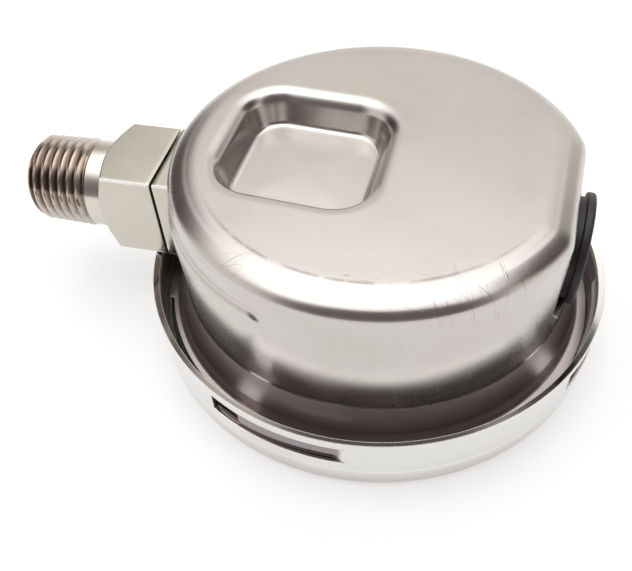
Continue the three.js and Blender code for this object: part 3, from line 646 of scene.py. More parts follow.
def case_profile():
    """Inset from the wall and height, from the shoulder's start to the flange's inner edge."""
    corner = CASE_RADIUS - CORNER_RADIUS
    difference = SHOULDER_RADIUS - CORNER_RADIUS
    shoulder = corner - difference * math.sin(SHOULDER_TURN)
    shoulder_z = CASE_BACK - SHOULDER_RADIUS
    corner_z = shoulder_z + difference * math.cos(SHOULDER_TURN)
    points = []
    for k in range(13):
        a = math.pi / 2 - SHOULDER_TURN * k / 12
        radius = shoulder + SHOULDER_RADIUS * math.cos(a)
        points.append((radius, shoulder_z + SHOULDER_RADIUS * math.sin(a)))
    for k in range(1, 15):
        a = (math.pi / 2 - SHOULDER_TURN) * (1 - k / 14)
        points.append((corner + CORNER_RADIUS * math.cos(a), corner_z + CORNER_RADIUS * math.sin(a)))
    top = points[-1][1]
    for k in range(1, 61):
        points.append((CASE_RADIUS, lerp(top, FLARE_TOP + 1, k / 60)))
    lower = [
        (CASE_RADIUS, FLARE_TOP + 1),
        (CASE_RADIUS, FLARE_TOP),
        FLARE_MIDDLE,
        (FLARE_RADIUS, FLANGE_REAR),
        (FLANGE_RADIUS, FLANGE_REAR),
        (FLANGE_RADIUS, FLANGE_REAR - 0.2),
    ]
    points += rounded(lower, [2.2, 2.0, 0.6, 0.1], 7)[1:]
    return points


def notch_pull(x, y):
    """1 inside a notch of the flange, 0 outside."""
    angle = math.atan2(y, x) - (SLOT_START - UNLOCK_TURN)
    angle = angle % (TAU / TAB_COUNT)
    reach = SLOT_ANGLE + math.radians(3)
    inside = min(angle + math.radians(1.5), reach - math.radians(1.5) - angle)
    return smooth_step(inside / math.radians(0.8) + 0.5)


def shape_case(verts):
    """Presses out the pad, pulls in the flange's notches and makes the back slightly uneven."""
    shaped = []
    for x, y, z in verts:
        r = math.hypot(x, y)
        out = 0
        if r > CASE_RADIUS - 0.5 and FLARE_TOP < z < 26:
            out = pad_height(x, y, z) + 0.012 * math.sin(9 * math.atan2(y, x) + 0.5 * z)
        if r > NOTCH_RADIUS:
            out = (NOTCH_RADIUS - r) * notch_pull(x, y)
        if z > CASE_BACK - 0.3:
            z += back_sag(x, y) * smooth_step((24.5 - r) / 4) * 0.8 - 0.05
        shaped.append((x * (1 + out / r), y * (1 + out / r), z))
    return shaped


def make_case():
    """Drawn shell: the recess, the flat back, the shoulder, the wall and the flared flange."""
    angles = [TAU * i / CASE_COLUMNS for i in range(CASE_COLUMNS)]
    profile = case_profile()
    start_inset = CASE_RADIUS - profile[0][0]
    edge = [case_outline(a, start_inset, FLAT_DISTANCE) for a in angles]
    cx, cy = RECESS_CENTRE
    loops = recess_loops(angles, [math.hypot(x - cx, y - cy) - 0.3 for x, y in edge])
    rim = loops[-1]
    steps = 26
    for k in range(1, steps + 1):
        t = k / (steps + 1)
        loops.append([(lerp(p[0], q[0], t), lerp(p[1], q[1], t), CASE_BACK) for p, q in zip(rim, edge)])
    for radius, z in profile:
        flat = FLAT_DISTANCE + 4 * smooth_step((FLAT_BOTTOM + 2.2 - z) / 2.6)
        loop = []
        for a in angles:
            x, y = case_outline(a, CASE_RADIUS - radius if radius < CASE_RADIUS else 0, flat)
            if radius > CASE_RADIUS:
                out = radius / math.hypot(x, y)
                x, y = x * out, y * out
            loop.append((x, y, z))
        loops.append(loop)
    verts = shape_case(twisted([v for loop in loops for v in loop]))
    faces = grid_faces(len(loops), CASE_COLUMNS)
    faces.append(tuple(range(CASE_COLUMNS)))
    obj = make_object("case_shell", verts, faces, "gauge", ["case"], 60)
    thicken = obj.modifiers.new("sheet", "SOLIDIFY")
    thicken.thickness = SHEET * MM
    thicken.offset = -1
    plug_hole, plug_faces = cylinder_along_x(PLUG_HOLE, 20, 40, PLUG_HEIGHT)
    cut(obj, twisted(plug_hole), plug_faces)
    cut(obj, *cylinder_along_x(STEM_HOLE, -40, -20, PORT_HEIGHT))
    return obj


# ---------- Bezel ----------


def slot_angles():
    """Angles of the ring's columns, with exact columns at each slot's ends and tab's free end."""
    angles = []
    free = SLOT_ANGLE * TAB_FREE
    spans = [(0, free, 8), (free, SLOT_ANGLE, 40), (SLOT_ANGLE, TAU / TAB_COUNT, 56)]
    for tab in range(TAB_COUNT):
        base = SLOT_START + tab * TAU / TAB_COUNT
        for low, high, steps in spans:
            for k in range(steps):
                local = lerp(low, high, k / steps)
                angles.append((base + local, local))
    return angles


def tab_depth(local):
    """How far inwards the tab is pressed, at an angle from the slot's start."""
    free = SLOT_ANGLE * TAB_FREE
    t = (local - free) / (SLOT_ANGLE - free)
    if t < 0 or t > 1:
        return 0
    deep = lerp(TAB_FREE_BEND, TAB_BEND, min(1, t / TAB_DEEPEST))
    return deep * smooth_step((1 - t) / TAB_KINK)


def bezel_profile():
    """Radius and height, from the lip's inner edge over the crease to the rear edge."""
    front = rounded(
        [
            (SIGHT_RADIUS, -0.35),
            (SIGHT_RADIUS, BEZEL_FRONT),
            (BEZEL_RADIUS - 0.45, BEZEL_FRONT),
            (BEZEL_RADIUS - 0.1, BEZEL_CREASE - 0.5),
            (BEZEL_RADIUS - 0.26, BEZEL_CREASE - 0.22),
            (BEZEL_RADIUS, BEZEL_CREASE + 0.1),
            (BEZEL_RADIUS, SLOT_LOW),
        ],
        [0.45, 1.8, 0.12, 0.1, 0.15],
        8,
    )
    tab_low, tab_high = SLOT_LOW + SLOT_GAP, SLOT_HIGH - SLOT_GAP
    heights = [SLOT_LOW] + [lerp(tab_low, tab_high, k / 6) for k in range(7)]
    heights += [SLOT_HIGH, 9.2, 9.7, BEZEL_REAR - 0.12]
    return front[:-1] + [(BEZEL_RADIUS, z) for z in heights] + [(BEZEL_RADIUS - 0.06, BEZEL_REAR)]


def make_bezel():
    """Ring with four slots, in each of which a tab is left standing and pressed inwards."""
    profile = bezel_profile()
    columns = slot_angles()
    count = len(columns)
    verts = []
    for radius, z in profile:
        for angle, local in columns:
            r = radius
            if SLOT_LOW + 0.1 < z < SLOT_HIGH - 0.1:
                middle = (SLOT_LOW + SLOT_HIGH) / 2
                r -= tab_depth(local) * (1 + TAB_TILT * (z - middle))
            verts.append((r * math.cos(angle), r * math.sin(angle), z))
    faces = []
    free = SLOT_ANGLE * TAB_FREE
    for f in grid_faces(len(profile), count):
        local = columns[f[0] % count][1] + 1e-4
        z = sum(verts[i][2] for i in f) / 4
        in_slot = SLOT_LOW < z < SLOT_HIGH and local < SLOT_ANGLE
        on_tab = SLOT_LOW + SLOT_GAP < z < SLOT_HIGH - SLOT_GAP and local > free
        if not in_slot or on_tab:
            faces.append(f)
    obj = make_object("bezel_shell", verts, faces, "bezel", ["bezel_ring"], 45)
    thicken = obj.modifiers.new("wall", "SOLIDIFY")
    thicken.thickness = BEZEL_WALL * MM
    thicken.offset = -1
    break_edges(obj, 0.07, 50)
    return obj


# ---------- Socket ----------


def make_thread():
    """Helical thread with a chamfered start, a run-out groove and the port's bore."""
    around = 144
    per_turn = 12
    first = THREAD_END
    last = BLOCK_OUTER - NECK_LENGTH - 0.35
    turns = math.ceil((last - first) / THREAD_PITCH) + 1
    root = THREAD_RADIUS - THREAD_DEPTH
    loops = []
    bore = [(0, BORE_END), (1.5, BORE_END), (1.5, -45), (2.8, -46), (2.8, first + 0.5), (3.25, first)]
    for r, x in bore:
        loops.append([(r, x)] * around)
    loops.append([(5.35, first)] * around)
    for j in range(-per_turn, turns * per_turn + 1):
        loop = []
        for i in range(around):
            x = first + THREAD_PITCH * (j / per_turn + i / around)
            phase = (j / per_turn) % 1
            wave = min(1, max(0, 1.16 * (1 - abs(2 * phase - 1)) - 0.08))
            x = min(max(x, first), last)
            crest = THREAD_RADIUS - 0.2 + (x - first) * THREAD_TAPER
            r = crest - THREAD_DEPTH * (1 - wave)
            r = smooth_min(r, 5.45 + 1.05 * (x - first), 0.12)
            r = smooth_min(r, root + 0.1 + 1.6 * (last - x), 0.1)
            loop.append((r, x))
        loops.append(loop)
    neck = BLOCK_OUTER - NECK_LENGTH
    for r, x in ((root + 0.1, last + 0.12), (NECK_RADIUS - 0.1, neck), (NECK_RADIUS, neck + 0.1)):
        loops.append([(r, x)] * around)
    loops.append([(NECK_RADIUS, BLOCK_OUTER + 0.02)] * around)
    verts = []
    for loop in loops:
        for i, (r, x) in enumerate(loop):
            a = TAU * i / around
            verts.append((r * math.cos(a), r * math.sin(a), x))
    faces = grid_faces(len(loops), around)
    return make_object("socket_thread", on_port(verts), faces, "gauge", ["socket"], 38)


def square_loop(angles, half, corner, limit=99.0, blend=0.1):
    reach = []
    for a in angles:
        r = ray_to_rounded_rectangle(a, half, half, corner)
        reach.append(smooth_min(r, limit, blend) if limit < 99 else r)
    return reach


def make_block():
    """Square wrench block with its outer corners turned down, and the stem."""
    around = 240
    angles = [TAU * (i + 0.5) / around for i in range(around)]
    loops = [[(NECK_RADIUS - 1, a, BLOCK_OUTER) for a in angles]]
    slope = (BLOCK_HALF * math.sqrt(2) - BLOCK_TURNED) / BLOCK_CHAMFER
    xs = [BLOCK_OUTER + 0.08 * k for k in range(36)]
    xs += [lerp(xs[-1], BLOCK_INNER - 0.05, k / 10) for k in range(1, 11)]
    for x in xs:
        limit = BLOCK_TURNED + slope * (x - BLOCK_OUTER)
        reach = square_loop(angles, BLOCK_HALF, BLOCK_EDGE, limit, 0.12)
        loops.append([(r, a, x) for r, a in zip(reach, angles)])
    for inset, x in ((0.04, BLOCK_INNER + 0.05), (0.14, BLOCK_INNER + 0.1), (0.5, BLOCK_INNER + 0.1)):
        reach = square_loop(angles, BLOCK_HALF - inset, BLOCK_EDGE)
        loops.append([(r, a, x) for r, a in zip(reach, angles)])
    for r, x in ((STEM_RADIUS, BLOCK_INNER), (STEM_RADIUS, -27.5)):
        loops.append([(r, a, x) for a in angles])
    verts = [(r * math.cos(a), r * math.sin(a), x) for loop in loops for r, a, x in loop]
    faces = grid_faces(len(loops), around)
    return make_object("socket_block", on_port(verts), faces, "gauge", ["socket"], 30)


def make_inner_block():
    """The socket's inner block, where the tube's root and the movement are fixed."""
    edit = bmesh.new()
    bmesh.ops.create_cube(edit, size=1)
    low, high = (Vector(corner) for corner in INNER_BLOCK)
    for v in edit.verts:
        v.co = Vector([lerp(low[i], high[i], v.co[i] + 0.5) for i in range(3)]) * MM
    bmesh.ops.bevel(edit, geom=edit.edges[:], offset=0.4 * MM, segments=3, affect="EDGES")
    mesh = bpy.data.meshes.new("socket_inner")
    edit.to_mesh(mesh)
    edit.free()
    obj = add_object("socket_inner", mesh)
    return dress(obj, "gauge", ["socket"], 40)


def make_spacer():
    """Square collar between the wrench block and the case, its inner end following the wall."""
    around = 240
    angles = [TAU * (i + 0.5) / around for i in range(around)]
    outer = BLOCK_INNER + GROOVE
    wall = CASE_RADIUS + 0.5

    def follow(r, a):
        y = r * math.sin(a)
        return -math.sqrt(wall * wall - y * y)

    loops = [[(STEM_HOLE, a, outer) for a in angles]]
    lip = outer - 0.12
    for inset, x in ((0.5, lip), (0.14, lip), (0.04, lip + 0.05), (0, lip + 0.14)):
        reach = square_loop(angles, BLOCK_HALF - inset, COLLAR_EDGE)
        loops.append([(r, a, x) for r, a in zip(reach, angles)])
    reach = square_loop(angles, BLOCK_HALF, COLLAR_EDGE)
    for share in (0.25, 0.5, 0.75):
        loops.append([(r, a, lerp(lip + 0.14, follow(r, a), share)) for r, a in zip(reach, angles)])
    for inset, back in ((0, 0.06), (0.1, 0)):
        rim = square_loop(angles, BLOCK_HALF - inset, COLLAR_EDGE)
        loops.append([(r, a, follow(r, a) - back) for r, a in zip(rim, angles)])
    loops.append([(STEM_HOLE, a, follow(STEM_HOLE, a)) for a in angles])
    loops.append(loops[0])
    verts = [(r * math.cos(a), r * math.sin(a), x) for loop in loops for r, a, x in loop]
    faces = grid_faces(len(loops), around)
    verts = on_port(verts)
    return make_object("socket_collar", verts, faces, "gauge", ["socket_spacer"], 30)


# ---------- Blow-out plug ----------


def make_plug():
    """Mushroom plug: a hollow stem through the flat, a narrow foot and a wide head."""
    seat = FLAT_DISTANCE + 0.1
    tail = FLAT_DISTANCE - SHEET - 1.6
    hollow, stem = PLUG_HOLE - 1.8, PLUG_HOLE - 0.3
    foot = PLUG_RADIUS - 0.7
    corners = [
        (0, seat - 0.4),
        (hollow, seat - 0.4),
        (hollow, tail),
        (stem, tail),
        (stem, seat),
        (foot, seat),
        (foot, seat + PLUG_FOOT),
        (PLUG_RADIUS, seat + PLUG_FOOT),
        (PLUG_RADIUS, seat + PLUG_HEAD),
        (0, seat + PLUG_HEAD),
    ]
    profile = rounded(corners, [0, 0.2, 0.4, 0.1, 0.15, 0.08, 0.15, 0.45], 4)
    verts, faces = revolve(profile, 96)
    placed = twisted([(z, y, PLUG_HEIGHT - x) for x, y, z in verts])
    return make_object("plug_rubber", placed, faces, "plug", ["blowout_plug"], 35)


# ---------- Window, dial and pointer ----------

DIAL_RADIUS = 27.3
DIAL_FRONT = 6.9
DIAL_REAR = 7.5
DIAL_BORE = 1.5
HOLE_SEGMENTS = 48
DIAL_SCREW_OFFSET = 8.5
DIAL_SCREW_HOLE = 1.1
PRINT = 0.03  # thickness of the dial's print
ZERO_ANGLE = math.radians(-135)
SWEEP = math.radians(270)
SCALE_RADIUS = 24.6
SCALE_NUMBERS = 11
STEPS_PER_NUMBER = 5
MAJOR_BAR = (3.0, 0.45)  # length and width
MINOR_BAR = (1.7, 0.2)
ARC_PIECES = 180
NUMBER_SIZE = 4.2
NUMBER_INSET = 5.6
STOP_RADIUS = 15
STOP_ANGLE = math.radians(-140.5)
WINDOW_RADIUS = 32.9
WINDOW_REAR = 2.0
POINTER_FRONT = 4.6
POINTER_REAR = 5.0
POINTER_LENGTH = 21.5
POINTER_TAIL = 8


def make_window():
    face = SIGHT_RADIUS - 0.3
    corners = [(0, 0), (face, 0), (face + 0.1, 0.1), (WINDOW_RADIUS, 0.1), (WINDOW_RADIUS, WINDOW_REAR)]
    corners += [(0, WINDOW_REAR)]
    verts, faces = revolve(rounded(corners, [0.04, 0.04, 0.25, 0.25], 3), 144)
    return make_object("window_pane", verts, faces, "gauge", ["window"], 50)


def make_dial():
    corners = [
        (DIAL_BORE, DIAL_REAR),
        (DIAL_BORE, DIAL_FRONT),
        (DIAL_RADIUS, DIAL_FRONT),
        (DIAL_RADIUS, DIAL_REAR),
        (DIAL_BORE, DIAL_REAR),
    ]
    verts, faces = revolve(rounded(corners, [0.1, 0.2, 0.2], 4), 144)
    dial = make_object("dial_face", verts, faces, "gauge", ["dial_plate"], 40)
    for x, y, radius in dial_holes():
        hole, sides = revolve([(radius, DIAL_FRONT - 1), (radius, DIAL_REAR + 1)], HOLE_SEGMENTS)
        sides.append(tuple(range(HOLE_SEGMENTS)))
        sides.append(tuple(range(2 * HOLE_SEGMENTS - 1, HOLE_SEGMENTS - 1, -1)))
        cut(dial, [(x + px, y + py, pz) for px, py, pz in hole], sides)
    return dial


def dial_holes():
    stop = (STOP_RADIUS * math.cos(STOP_ANGLE), STOP_RADIUS * math.sin(STOP_ANGLE), 0.8)
    return [(0, DIAL_SCREW_OFFSET, DIAL_SCREW_HOLE), (0, -DIAL_SCREW_OFFSET, DIAL_SCREW_HOLE), stop]


def box_on_dial(radius, length, width, angle):
    """Corners of a thin printed bar whose outer end is at a radius."""
    c, s = math.cos(angle), math.sin(angle)
    corners = []
    for z in (DIAL_FRONT - PRINT, DIAL_FRONT + 0.01):
        for r, side in ((radius - length, -1), (radius, -1), (radius, 1), (radius - length, 1)):
            w = side * width / 2
            corners.append((r * c - w * s, r * s + w * c, z))
    return corners


def make_scale():
    """Printed scale: an arc, a bar at each step and longer ones at the numbers."""
    verts, faces = [], []
    sides = [(0, 1, 2, 3), (7, 6, 5, 4), (0, 4, 5, 1), (1, 5, 6, 2), (2, 6, 7, 3), (3, 7, 4, 0)]
    steps = (SCALE_NUMBERS - 1) * STEPS_PER_NUMBER
    bars = []
    for i in range(steps + 1):
        length, width = MINOR_BAR if i % STEPS_PER_NUMBER else MAJOR_BAR
        bars.append((SCALE_RADIUS, length, width, ZERO_ANGLE + SWEEP * i / steps))
    for i in range(ARC_PIECES):
        angle = ZERO_ANGLE + SWEEP * (i + 0.5) / ARC_PIECES
        bars.append((SCALE_RADIUS + 0.12, 0.24, SCALE_RADIUS * SWEEP / ARC_PIECES + 0.01, angle))
    for bar in bars:
        base = len(verts)
        verts += box_on_dial(*bar)
        faces += [tuple(base + i for i in side) for side in sides]
    return make_object("dial_scale", verts, faces, "gauge", (), 30)


def make_numbers():
    """Generic scale numbers, read from the front with the gauge's +X up."""
    numbers = []
    for i in range(SCALE_NUMBERS):
        curve = bpy.data.curves.new(f"number_{i}", "FONT")
        curve.body = str(i)
        curve.size = NUMBER_SIZE * MM
        curve.extrude = PRINT * MM / 2
        curve.align_x = "CENTER"
        curve.align_y = "CENTER"
        text = add_object(f"number_text_{i}", curve)
        angle = ZERO_ANGLE + SWEEP * i / (SCALE_NUMBERS - 1)
        radius = SCALE_RADIUS - NUMBER_INSET
        height = DIAL_FRONT - PRINT / 2 + 0.005
        centre = Vector((radius * math.cos(angle), radius * math.sin(angle), height))
        turn = Matrix(((0, 1, 0), (1, 0, 0), (0, 0, -1))).to_4x4()
        bpy.context.view_layer.update()
        graph = bpy.context.evaluated_depsgraph_get()
        mesh = bpy.data.meshes.new_from_object(text.evaluated_get(graph))
        mesh.transform(Matrix.Translation(centre * MM) @ turn)
        bpy.data.objects.remove(text)
        number = add_object(f"dial_number_{i}", mesh)
        numbers.append(dress(number, "gauge", (), 30))
    return numbers


def make_pointer():
    """Needle with a ridge along its middle, tapering from the boss to the tip."""
    outline = [(-POINTER_TAIL, 1.5), (-POINTER_TAIL + 2.5, 1.1), (-2.4, 1.05)]
    outline += [(2.4, 0.95), (10, 0.7), (POINTER_LENGTH - 4, 0.42), (POINTER_LENGTH - 0.3, 0.06)]
    verts, faces = [], []
    for x, half in outline:
        edge = POINTER_REAR - 0.2
        verts += [(x, -half, POINTER_REAR), (x, -half, edge), (x, 0, POINTER_FRONT)]
        verts += [(x, half, edge), (x, half, POINTER_REAR)]
    for j in range(len(outline) - 1):
        for i in range(5):
            k = (i + 1) % 5
            faces.append((5 * j + i, 5 * j + k, 5 * j + 5 + k, 5 * j + 5 + i))
    last = 5 * (len(outline) - 1)
    faces += [(4, 3, 2, 1, 0), tuple(last + i for i in range(5))]
    c, s = math.cos(ZERO_ANGLE), math.sin(ZERO_ANGLE)
    turned = [(c * x - s * y, s * x + c * y, z) for x, y, z in verts]
    needle = make_object("pointer_needle", turned, faces, "pointer", ["pointer"], 25)
    corners = [(1.3, POINTER_REAR), (2.4, POINTER_REAR), (2.4, POINTER_FRONT), (1.3, POINTER_FRONT)]
    corners.append(corners[0])
    verts, faces = revolve(rounded(corners, [0.12, 0.12, 0.1], 3), 72)
    boss = make_object("pointer_boss", verts, faces, "pointer", (), 40)
    return needle, boss


# ---------- Bourdon tube ----------

TUBE_RADIUS = 22.5
TUBE_START = math.radians(-170)
TUBE_END = math.radians(90)
TUBE_WIDTH = 7.0
TUBE_DEPTH = 3.0
TUBE_HEIGHT = PORT_HEIGHT


def make_tube():
    """Flattened tube with rounded edges, curved in an arc from the socket to its free tip."""
    around, along = 40, 200
    straight = (TUBE_WIDTH - TUBE_DEPTH) / 2
    verts = []
    for j in range(along + 1):
        angle = lerp(TUBE_START, TUBE_END, j / along)
        for i in range(around):
            a = TAU * i / around
            rise = straight * max(-1, min(1, 1.6 * math.cos(a))) + TUBE_DEPTH / 2 * math.cos(a)
            rise = max(-TUBE_WIDTH / 2, min(TUBE_WIDTH / 2, rise))
            r = TUBE_RADIUS + TUBE_DEPTH / 2 * math.sin(a) * (1 - 0.06 * math.cos(2 * a))
            verts.append((r * math.cos(angle), r * math.sin(angle), TUBE_HEIGHT + rise))
    faces = grid_faces(along + 1, around)
    faces.append(tuple(range(around)))
    faces.append(tuple(along * around + i for i in range(around)))
    tube = make_object("bourdon", verts, faces, None, ["bourdon_tube"], 50)
    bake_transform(tube)
    return tube


# ---------- Small inner pieces ----------

INNER_PIECES = {
    "brass": [
        "movement_front_plate", "movement_back_plate", "movement_pillar_1", "movement_pillar_2",
        "movement_pillar_3", "sector_gear", "link", "hairspring_collet", "hairspring_stud",
        "dial_post_left", "dial_post_right", "pointer_hub",
    ],
    "steel": [
        "sector_arbor", "pinion_arbor", "movement_screw_1", "movement_screw_2", "link_screw",
        "tip_pin", "zero_stop_pin", "dial_screw_left", "dial_screw_right", "restrictor_screw",
    ],
    "bronze": ["tube_tip"],
}


def refine(node):
    """Copy of a small CAD piece with its edges broken and its round faces smooth."""
    source = frame["nodes"][node]
    obj = add_object(f"{node}_fine", source.data.copy())
    dress(obj, source["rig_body"], [node], 35)
    break_edges(obj, 0.06, 35)
    return obj


# ---------- Materials ----------


def metal(name, low, high, rough, brushed=(1, 1, 1)):
    """Plain metal with a brushed grain, light stains and a few fine marks."""
    n = Nodes(name)
    n.set(Metallic=1.0)
    cloud = n.noise(160, 4, 0.6)
    grain = n.noise(1500, 3, 0.6, n.scaled(brushed))
    marks = scratches(n, 700, 0.08, 20, 0.01)
    color = tarnish(n, n.ramp(cloud, [(0.3, low), (0.7, high)]), marks, (0.7, 0.68, 0.66))
    rough_map = n.remap(cloud, 0.3, 0.7, rough * 0.8, rough * 1.25)
    rough_map = n.plus(rough_map, n.times(grain, 0.1))
    return n.finish(color, rough_map, n.bump(grain, 0.25, 0.00002))


def enamel(name, low, high, rough, grain):
    """Painted surface: faint unevenness, orange peel and specks of dust."""
    n = Nodes(name)
    cloud = n.noise(90, 4, 0.55)
    peel = n.noise(grain, 3, 0.55)
    specks = n.remap(n.noise(1300, 1), 0.72, 0.76, 0, 1)
    color = tarnish(n, n.ramp(cloud, [(0.3, low), (0.7, high)]), specks, (0.82, 0.8, 0.77))
    rough_map = n.remap(cloud, 0.3, 0.7, rough * 0.85, rough * 1.15)
    return n.finish(color, rough_map, n.bump(peel, 0.12, 0.00003))


def glass_material():
    n = Nodes("window_glass_clear")
    n.set(Transmission_Weight=1.0, IOR=1.5)
    smears = n.noise(60, 4, 0.6, n.scaled((1, 0.4, 1)))
    dust = n.remap(n.noise(1400, 1), 0.7, 0.75, 0, 1)
    color = n.ramp(smears, [(0.3, (0.93, 0.97, 0.96)), (0.7, (0.98, 0.99, 0.99))])
    rough = n.plus(n.remap(smears, 0.35, 0.75, 0.0, 0.05), n.times(dust, 0.2))
    return n.finish(color, rough, n.bump(smears, 0.02, 0.00002))


def rubber_material():
    n = Nodes("rubber")
    cloud = n.noise(220, 3)
    fine = n.noise(3200, 2)
    color = n.ramp(cloud, [(0.3, (0.012, 0.009, 0.012)), (0.7, (0.022, 0.015, 0.021))])
    rough = n.remap(cloud, 0.3, 0.7, 0.42, 0.58)
    return n.finish(color, rough, n.bump(fine, 0.35, 0.00003))


def assign(obj, material):
    obj.data.materials.clear()
    obj.data.materials.append(material)


# ---------- Stage ----------

CAMERA_AT = (12.097, -79.394, 91.593)
CAMERA_RIGHT = (0.973908, 0.223494, -0.039404)
CAMERA_UP = (-0.140859, 0.731449, 0.667190)
CAMERA_LENS = 41.47


def make_camera():
    data = bpy.data.cameras.new("camera")
    data.sensor_width = 36
    data.lens = CAMERA_LENS
    data.clip_start = 0.005
    data.clip_end = 20
    camera = add_object("camera", data)
    right, up = Vector(CAMERA_RIGHT), Vector(CAMERA_UP)
    back = right.cross(up)
    turn = Matrix((right, up, back)).transposed().to_4x4()
    camera.matrix_world = Matrix.Translation(Vector(CAMERA_AT) * MM) @ turn
    bpy.context.scene.camera = camera


def make_floor():
    mesh = bpy.data.meshes.new("floor")
    half = 1.5
    z = (BEZEL_FRONT - FLOOR_GAP) * MM
    corners = [(-half, -half, z), (half, -half, z), (half, half, z), (-half, half, z)]
    mesh.from_pydata(corners, [], [(0, 1, 2, 3)])
    floor = add_object("floor", mesh)
    n = Nodes("paper")
    color = n.ramp(n.noise(12, 3), [(0.3, (0.48, 0.48, 0.48)), (0.7, (0.50, 0.50, 0.50))])
    n.set(Roughness=0.9, Emission_Strength=0.55)
    n.shader.inputs["Emission Color"].default_value = (1, 1, 1, 1)
    assign(floor, n.finish(color, None, n.bump(n.noise(900, 2), 0.05, 0.0001)))


def make_light(name, at, size, energy, color=(1, 1, 1), target=(0, 0, 0.01)):
    data = bpy.data.lights.new(name, "AREA")
    data.shape = "RECTANGLE"
    data.size, data.size_y = size
    data.energy = energy
    data.color = color
    light = add_object(name, data)
    light.location = at
    direction = Vector(target) - Vector(at)
    light.rotation_euler = direction.to_track_quat("-Z", "Y").to_euler()


def sky_lobe(tree, place, direction, inner, outer):
    """1 within the inner angle of a direction, 0 beyond the outer angle."""
    dot = tree.nodes.new("ShaderNodeVectorMath")
    dot.operation = "DOT_PRODUCT"
    tree.links.new(place, dot.inputs[0])
    dot.inputs[1].default_value = Vector(direction).normalized()
    node = tree.nodes.new("ShaderNodeMapRange")
    node.interpolation_type = "SMOOTHSTEP"
    node.inputs["From Min"].default_value = math.cos(math.radians(outer))
    node.inputs["From Max"].default_value = math.cos(math.radians(inner))
    tree.links.new(dot.outputs["Value"], node.inputs["Value"])
    return node.outputs["Result"]


def sky_blend(tree, factor, a, b):
    """Colour a where the factor is 0 and colour b where it is 1."""
    node = tree.nodes.new("ShaderNodeMix")
    node.data_type = "RGBA"
    tree.links.new(factor, node.inputs[0])
    for key, value in ((6, a), (7, b)):
        if isinstance(value, tuple):
            node.inputs[key].default_value = (*value, 1)
        else:
            tree.links.new(value, node.inputs[key])
    return node.outputs[2]


ROOM_COLOR = (0.92, 0.88, 0.83)
OVERHEAD_COLOR = (1.9, 1.9, 1.9)
DARK_PATCHES = [  # direction, inner and outer angle in degrees, colour
    ((0.178, -0.644, 0.25), 38, 62, (0.17, 0.135, 0.145)),
    ((-0.81, 0.47, 0.3), 12, 34, (0.07, 0.05, 0.045)),
    ((0.85, 0.35, 0.55), 12, 34, (0.09, 0.06, 0.055)),
]


def make_world():
    """Pale room with a dark patch low on the viewer's side and two at the far sides."""
    world = bpy.data.worlds.new("room")
    bpy.context.scene.world = world
    world.use_nodes = True
    tree = world.node_tree
    tree.nodes.clear()
    new = tree.nodes.new
    place = new("ShaderNodeTexCoord").outputs["Generated"]
    color = sky_blend(tree, sky_lobe(tree, place, (0, 0, 1), 25, 55), ROOM_COLOR, OVERHEAD_COLOR)
    for direction, inner, outer, shade in DARK_PATCHES:
        color = sky_blend(tree, sky_lobe(tree, place, direction, inner, outer), color, shade)
    room = new("ShaderNodeBackground")
    tree.links.new(color, room.inputs["Color"])
    room.inputs["Strength"].default_value = 1.0
    plain = new("ShaderNodeBackground")
    plain.inputs["Color"].default_value = (1, 1, 1, 1)
    pick = new("ShaderNodeMixShader")
    path = new("ShaderNodeLightPath")
    tree.links.new(path.outputs["Is Camera Ray"], pick.inputs["Fac"])
    tree.links.new(room.outputs[0], pick.inputs[1])
    tree.links.new(plain.outputs[0], pick.inputs[2])
    output = new("ShaderNodeOutputWorld")
    tree.links.new(pick.outputs[0], output.inputs["Surface"])


# ---------- Assembly ----------

case_scuffs = [
    ((0, -22.5, 30), 5, 80),
    ((9, -24, 29.5), 6, 95),
    ((17, -21.5, 29.5), 6, 115),
    ((-13, -22.7, 29.5), 3.5, 50),
]
# The case's flare and flange get painted shade behind the bezel; the shoulder's dark line is partly
# painted shade.
case_finish = steel(
    "satin_case", (0.60, 0.57, 0.545), 0.22, 0.05, 0.1,
    [(in_case_groove, (0.85, 0.79, 0.82))], case_scuffs, near_shoulder, dull=[(in_case_groove, 0.42)],
)
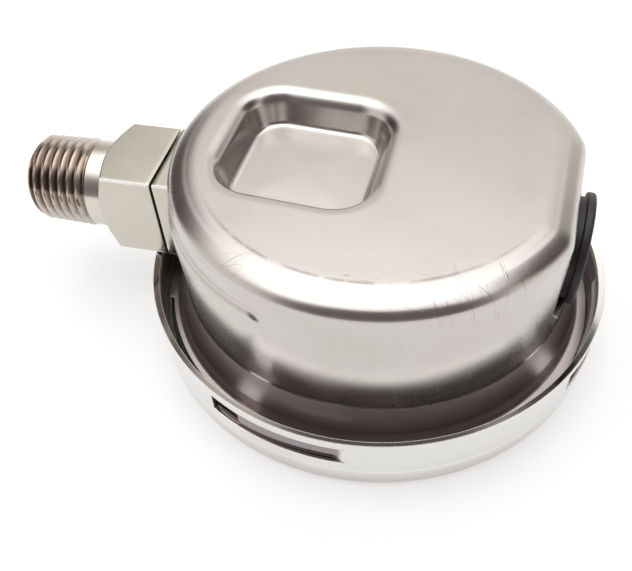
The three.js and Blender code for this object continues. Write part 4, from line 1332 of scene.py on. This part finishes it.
# The bezel's tabs, slot sills and the band near the floor, front lip included, get painted shade.
bezel_finish = steel(
    "polished_bezel", (0.76, 0.75, 0.735), 0.10, 0.03, 0.2,
    [
        (in_slots, (0.40, 0.36, 0.37)),
        (on_slot_sills, (0.55, 0.50, 0.51)),
        (near_floor, (0.74, 0.70, 0.69)),
    ],
    dull=[(inside_bezel, 0.6)],
)
# The wrench block's long edges get a painted highlight.
socket_finish = steel(
    "turned_socket", (0.60, 0.57, 0.505), 0.24, 0.10, 0.3, painted_edge_highlight=on_block_edges,
)
thread_finish = steel(
    "cut_thread", (0.66, 0.62, 0.57), 0.13, 0.04, 0.2, [(in_thread_root, (0.45, 0.36, 0.32))],
)
rubber = rubber_material()
black = enamel("black_enamel", (0.012, 0.012, 0.013), (0.022, 0.022, 0.024), 0.4, 1600)

assign(make_case(), case_finish)
assign(make_bezel(), bezel_finish)
assign(make_thread(), thread_finish)
assign(make_block(), socket_finish)
assign(make_inner_block(), socket_finish)
assign(make_spacer(), socket_finish)
assign(make_plug(), rubber)
for name in ("socket_seal", "window_gasket"):
    assign(refine(name), rubber)

assign(make_window(), glass_material())
assign(make_dial(), enamel("white_enamel", (0.80, 0.79, 0.75), (0.84, 0.83, 0.80), 0.38, 900))
for printed in (make_scale(), *make_numbers(), *make_pointer()):
    assign(printed, black)

inner_finishes = {
    "brass": metal("brass_plate", (0.62, 0.43, 0.17), (0.74, 0.54, 0.25), 0.26, (1, 0.12, 1)),
    "steel": metal("screw_steel_turned", (0.50, 0.50, 0.51), (0.62, 0.62, 0.62), 0.24),
    "bronze": metal("bronze_tube", (0.55, 0.33, 0.17), (0.68, 0.43, 0.24), 0.3),
}
assign(make_tube(), inner_finishes["bronze"])
for finish, pieces in INNER_PIECES.items():
    for piece in pieces:
        assign(refine(piece), inner_finishes[finish])
spring_finish = metal("spring_bronze_strip", (0.42, 0.30, 0.16), (0.55, 0.40, 0.22), 0.28)
assign(frame["nodes"]["hairspring"], spring_finish)

make_camera()
make_floor()
make_world()
make_light("overhead", (-0.05, 0.02, 0.9), (0.8, 0.8), 1.2)

bpy.context.scene.view_settings.view_transform = "Standard"
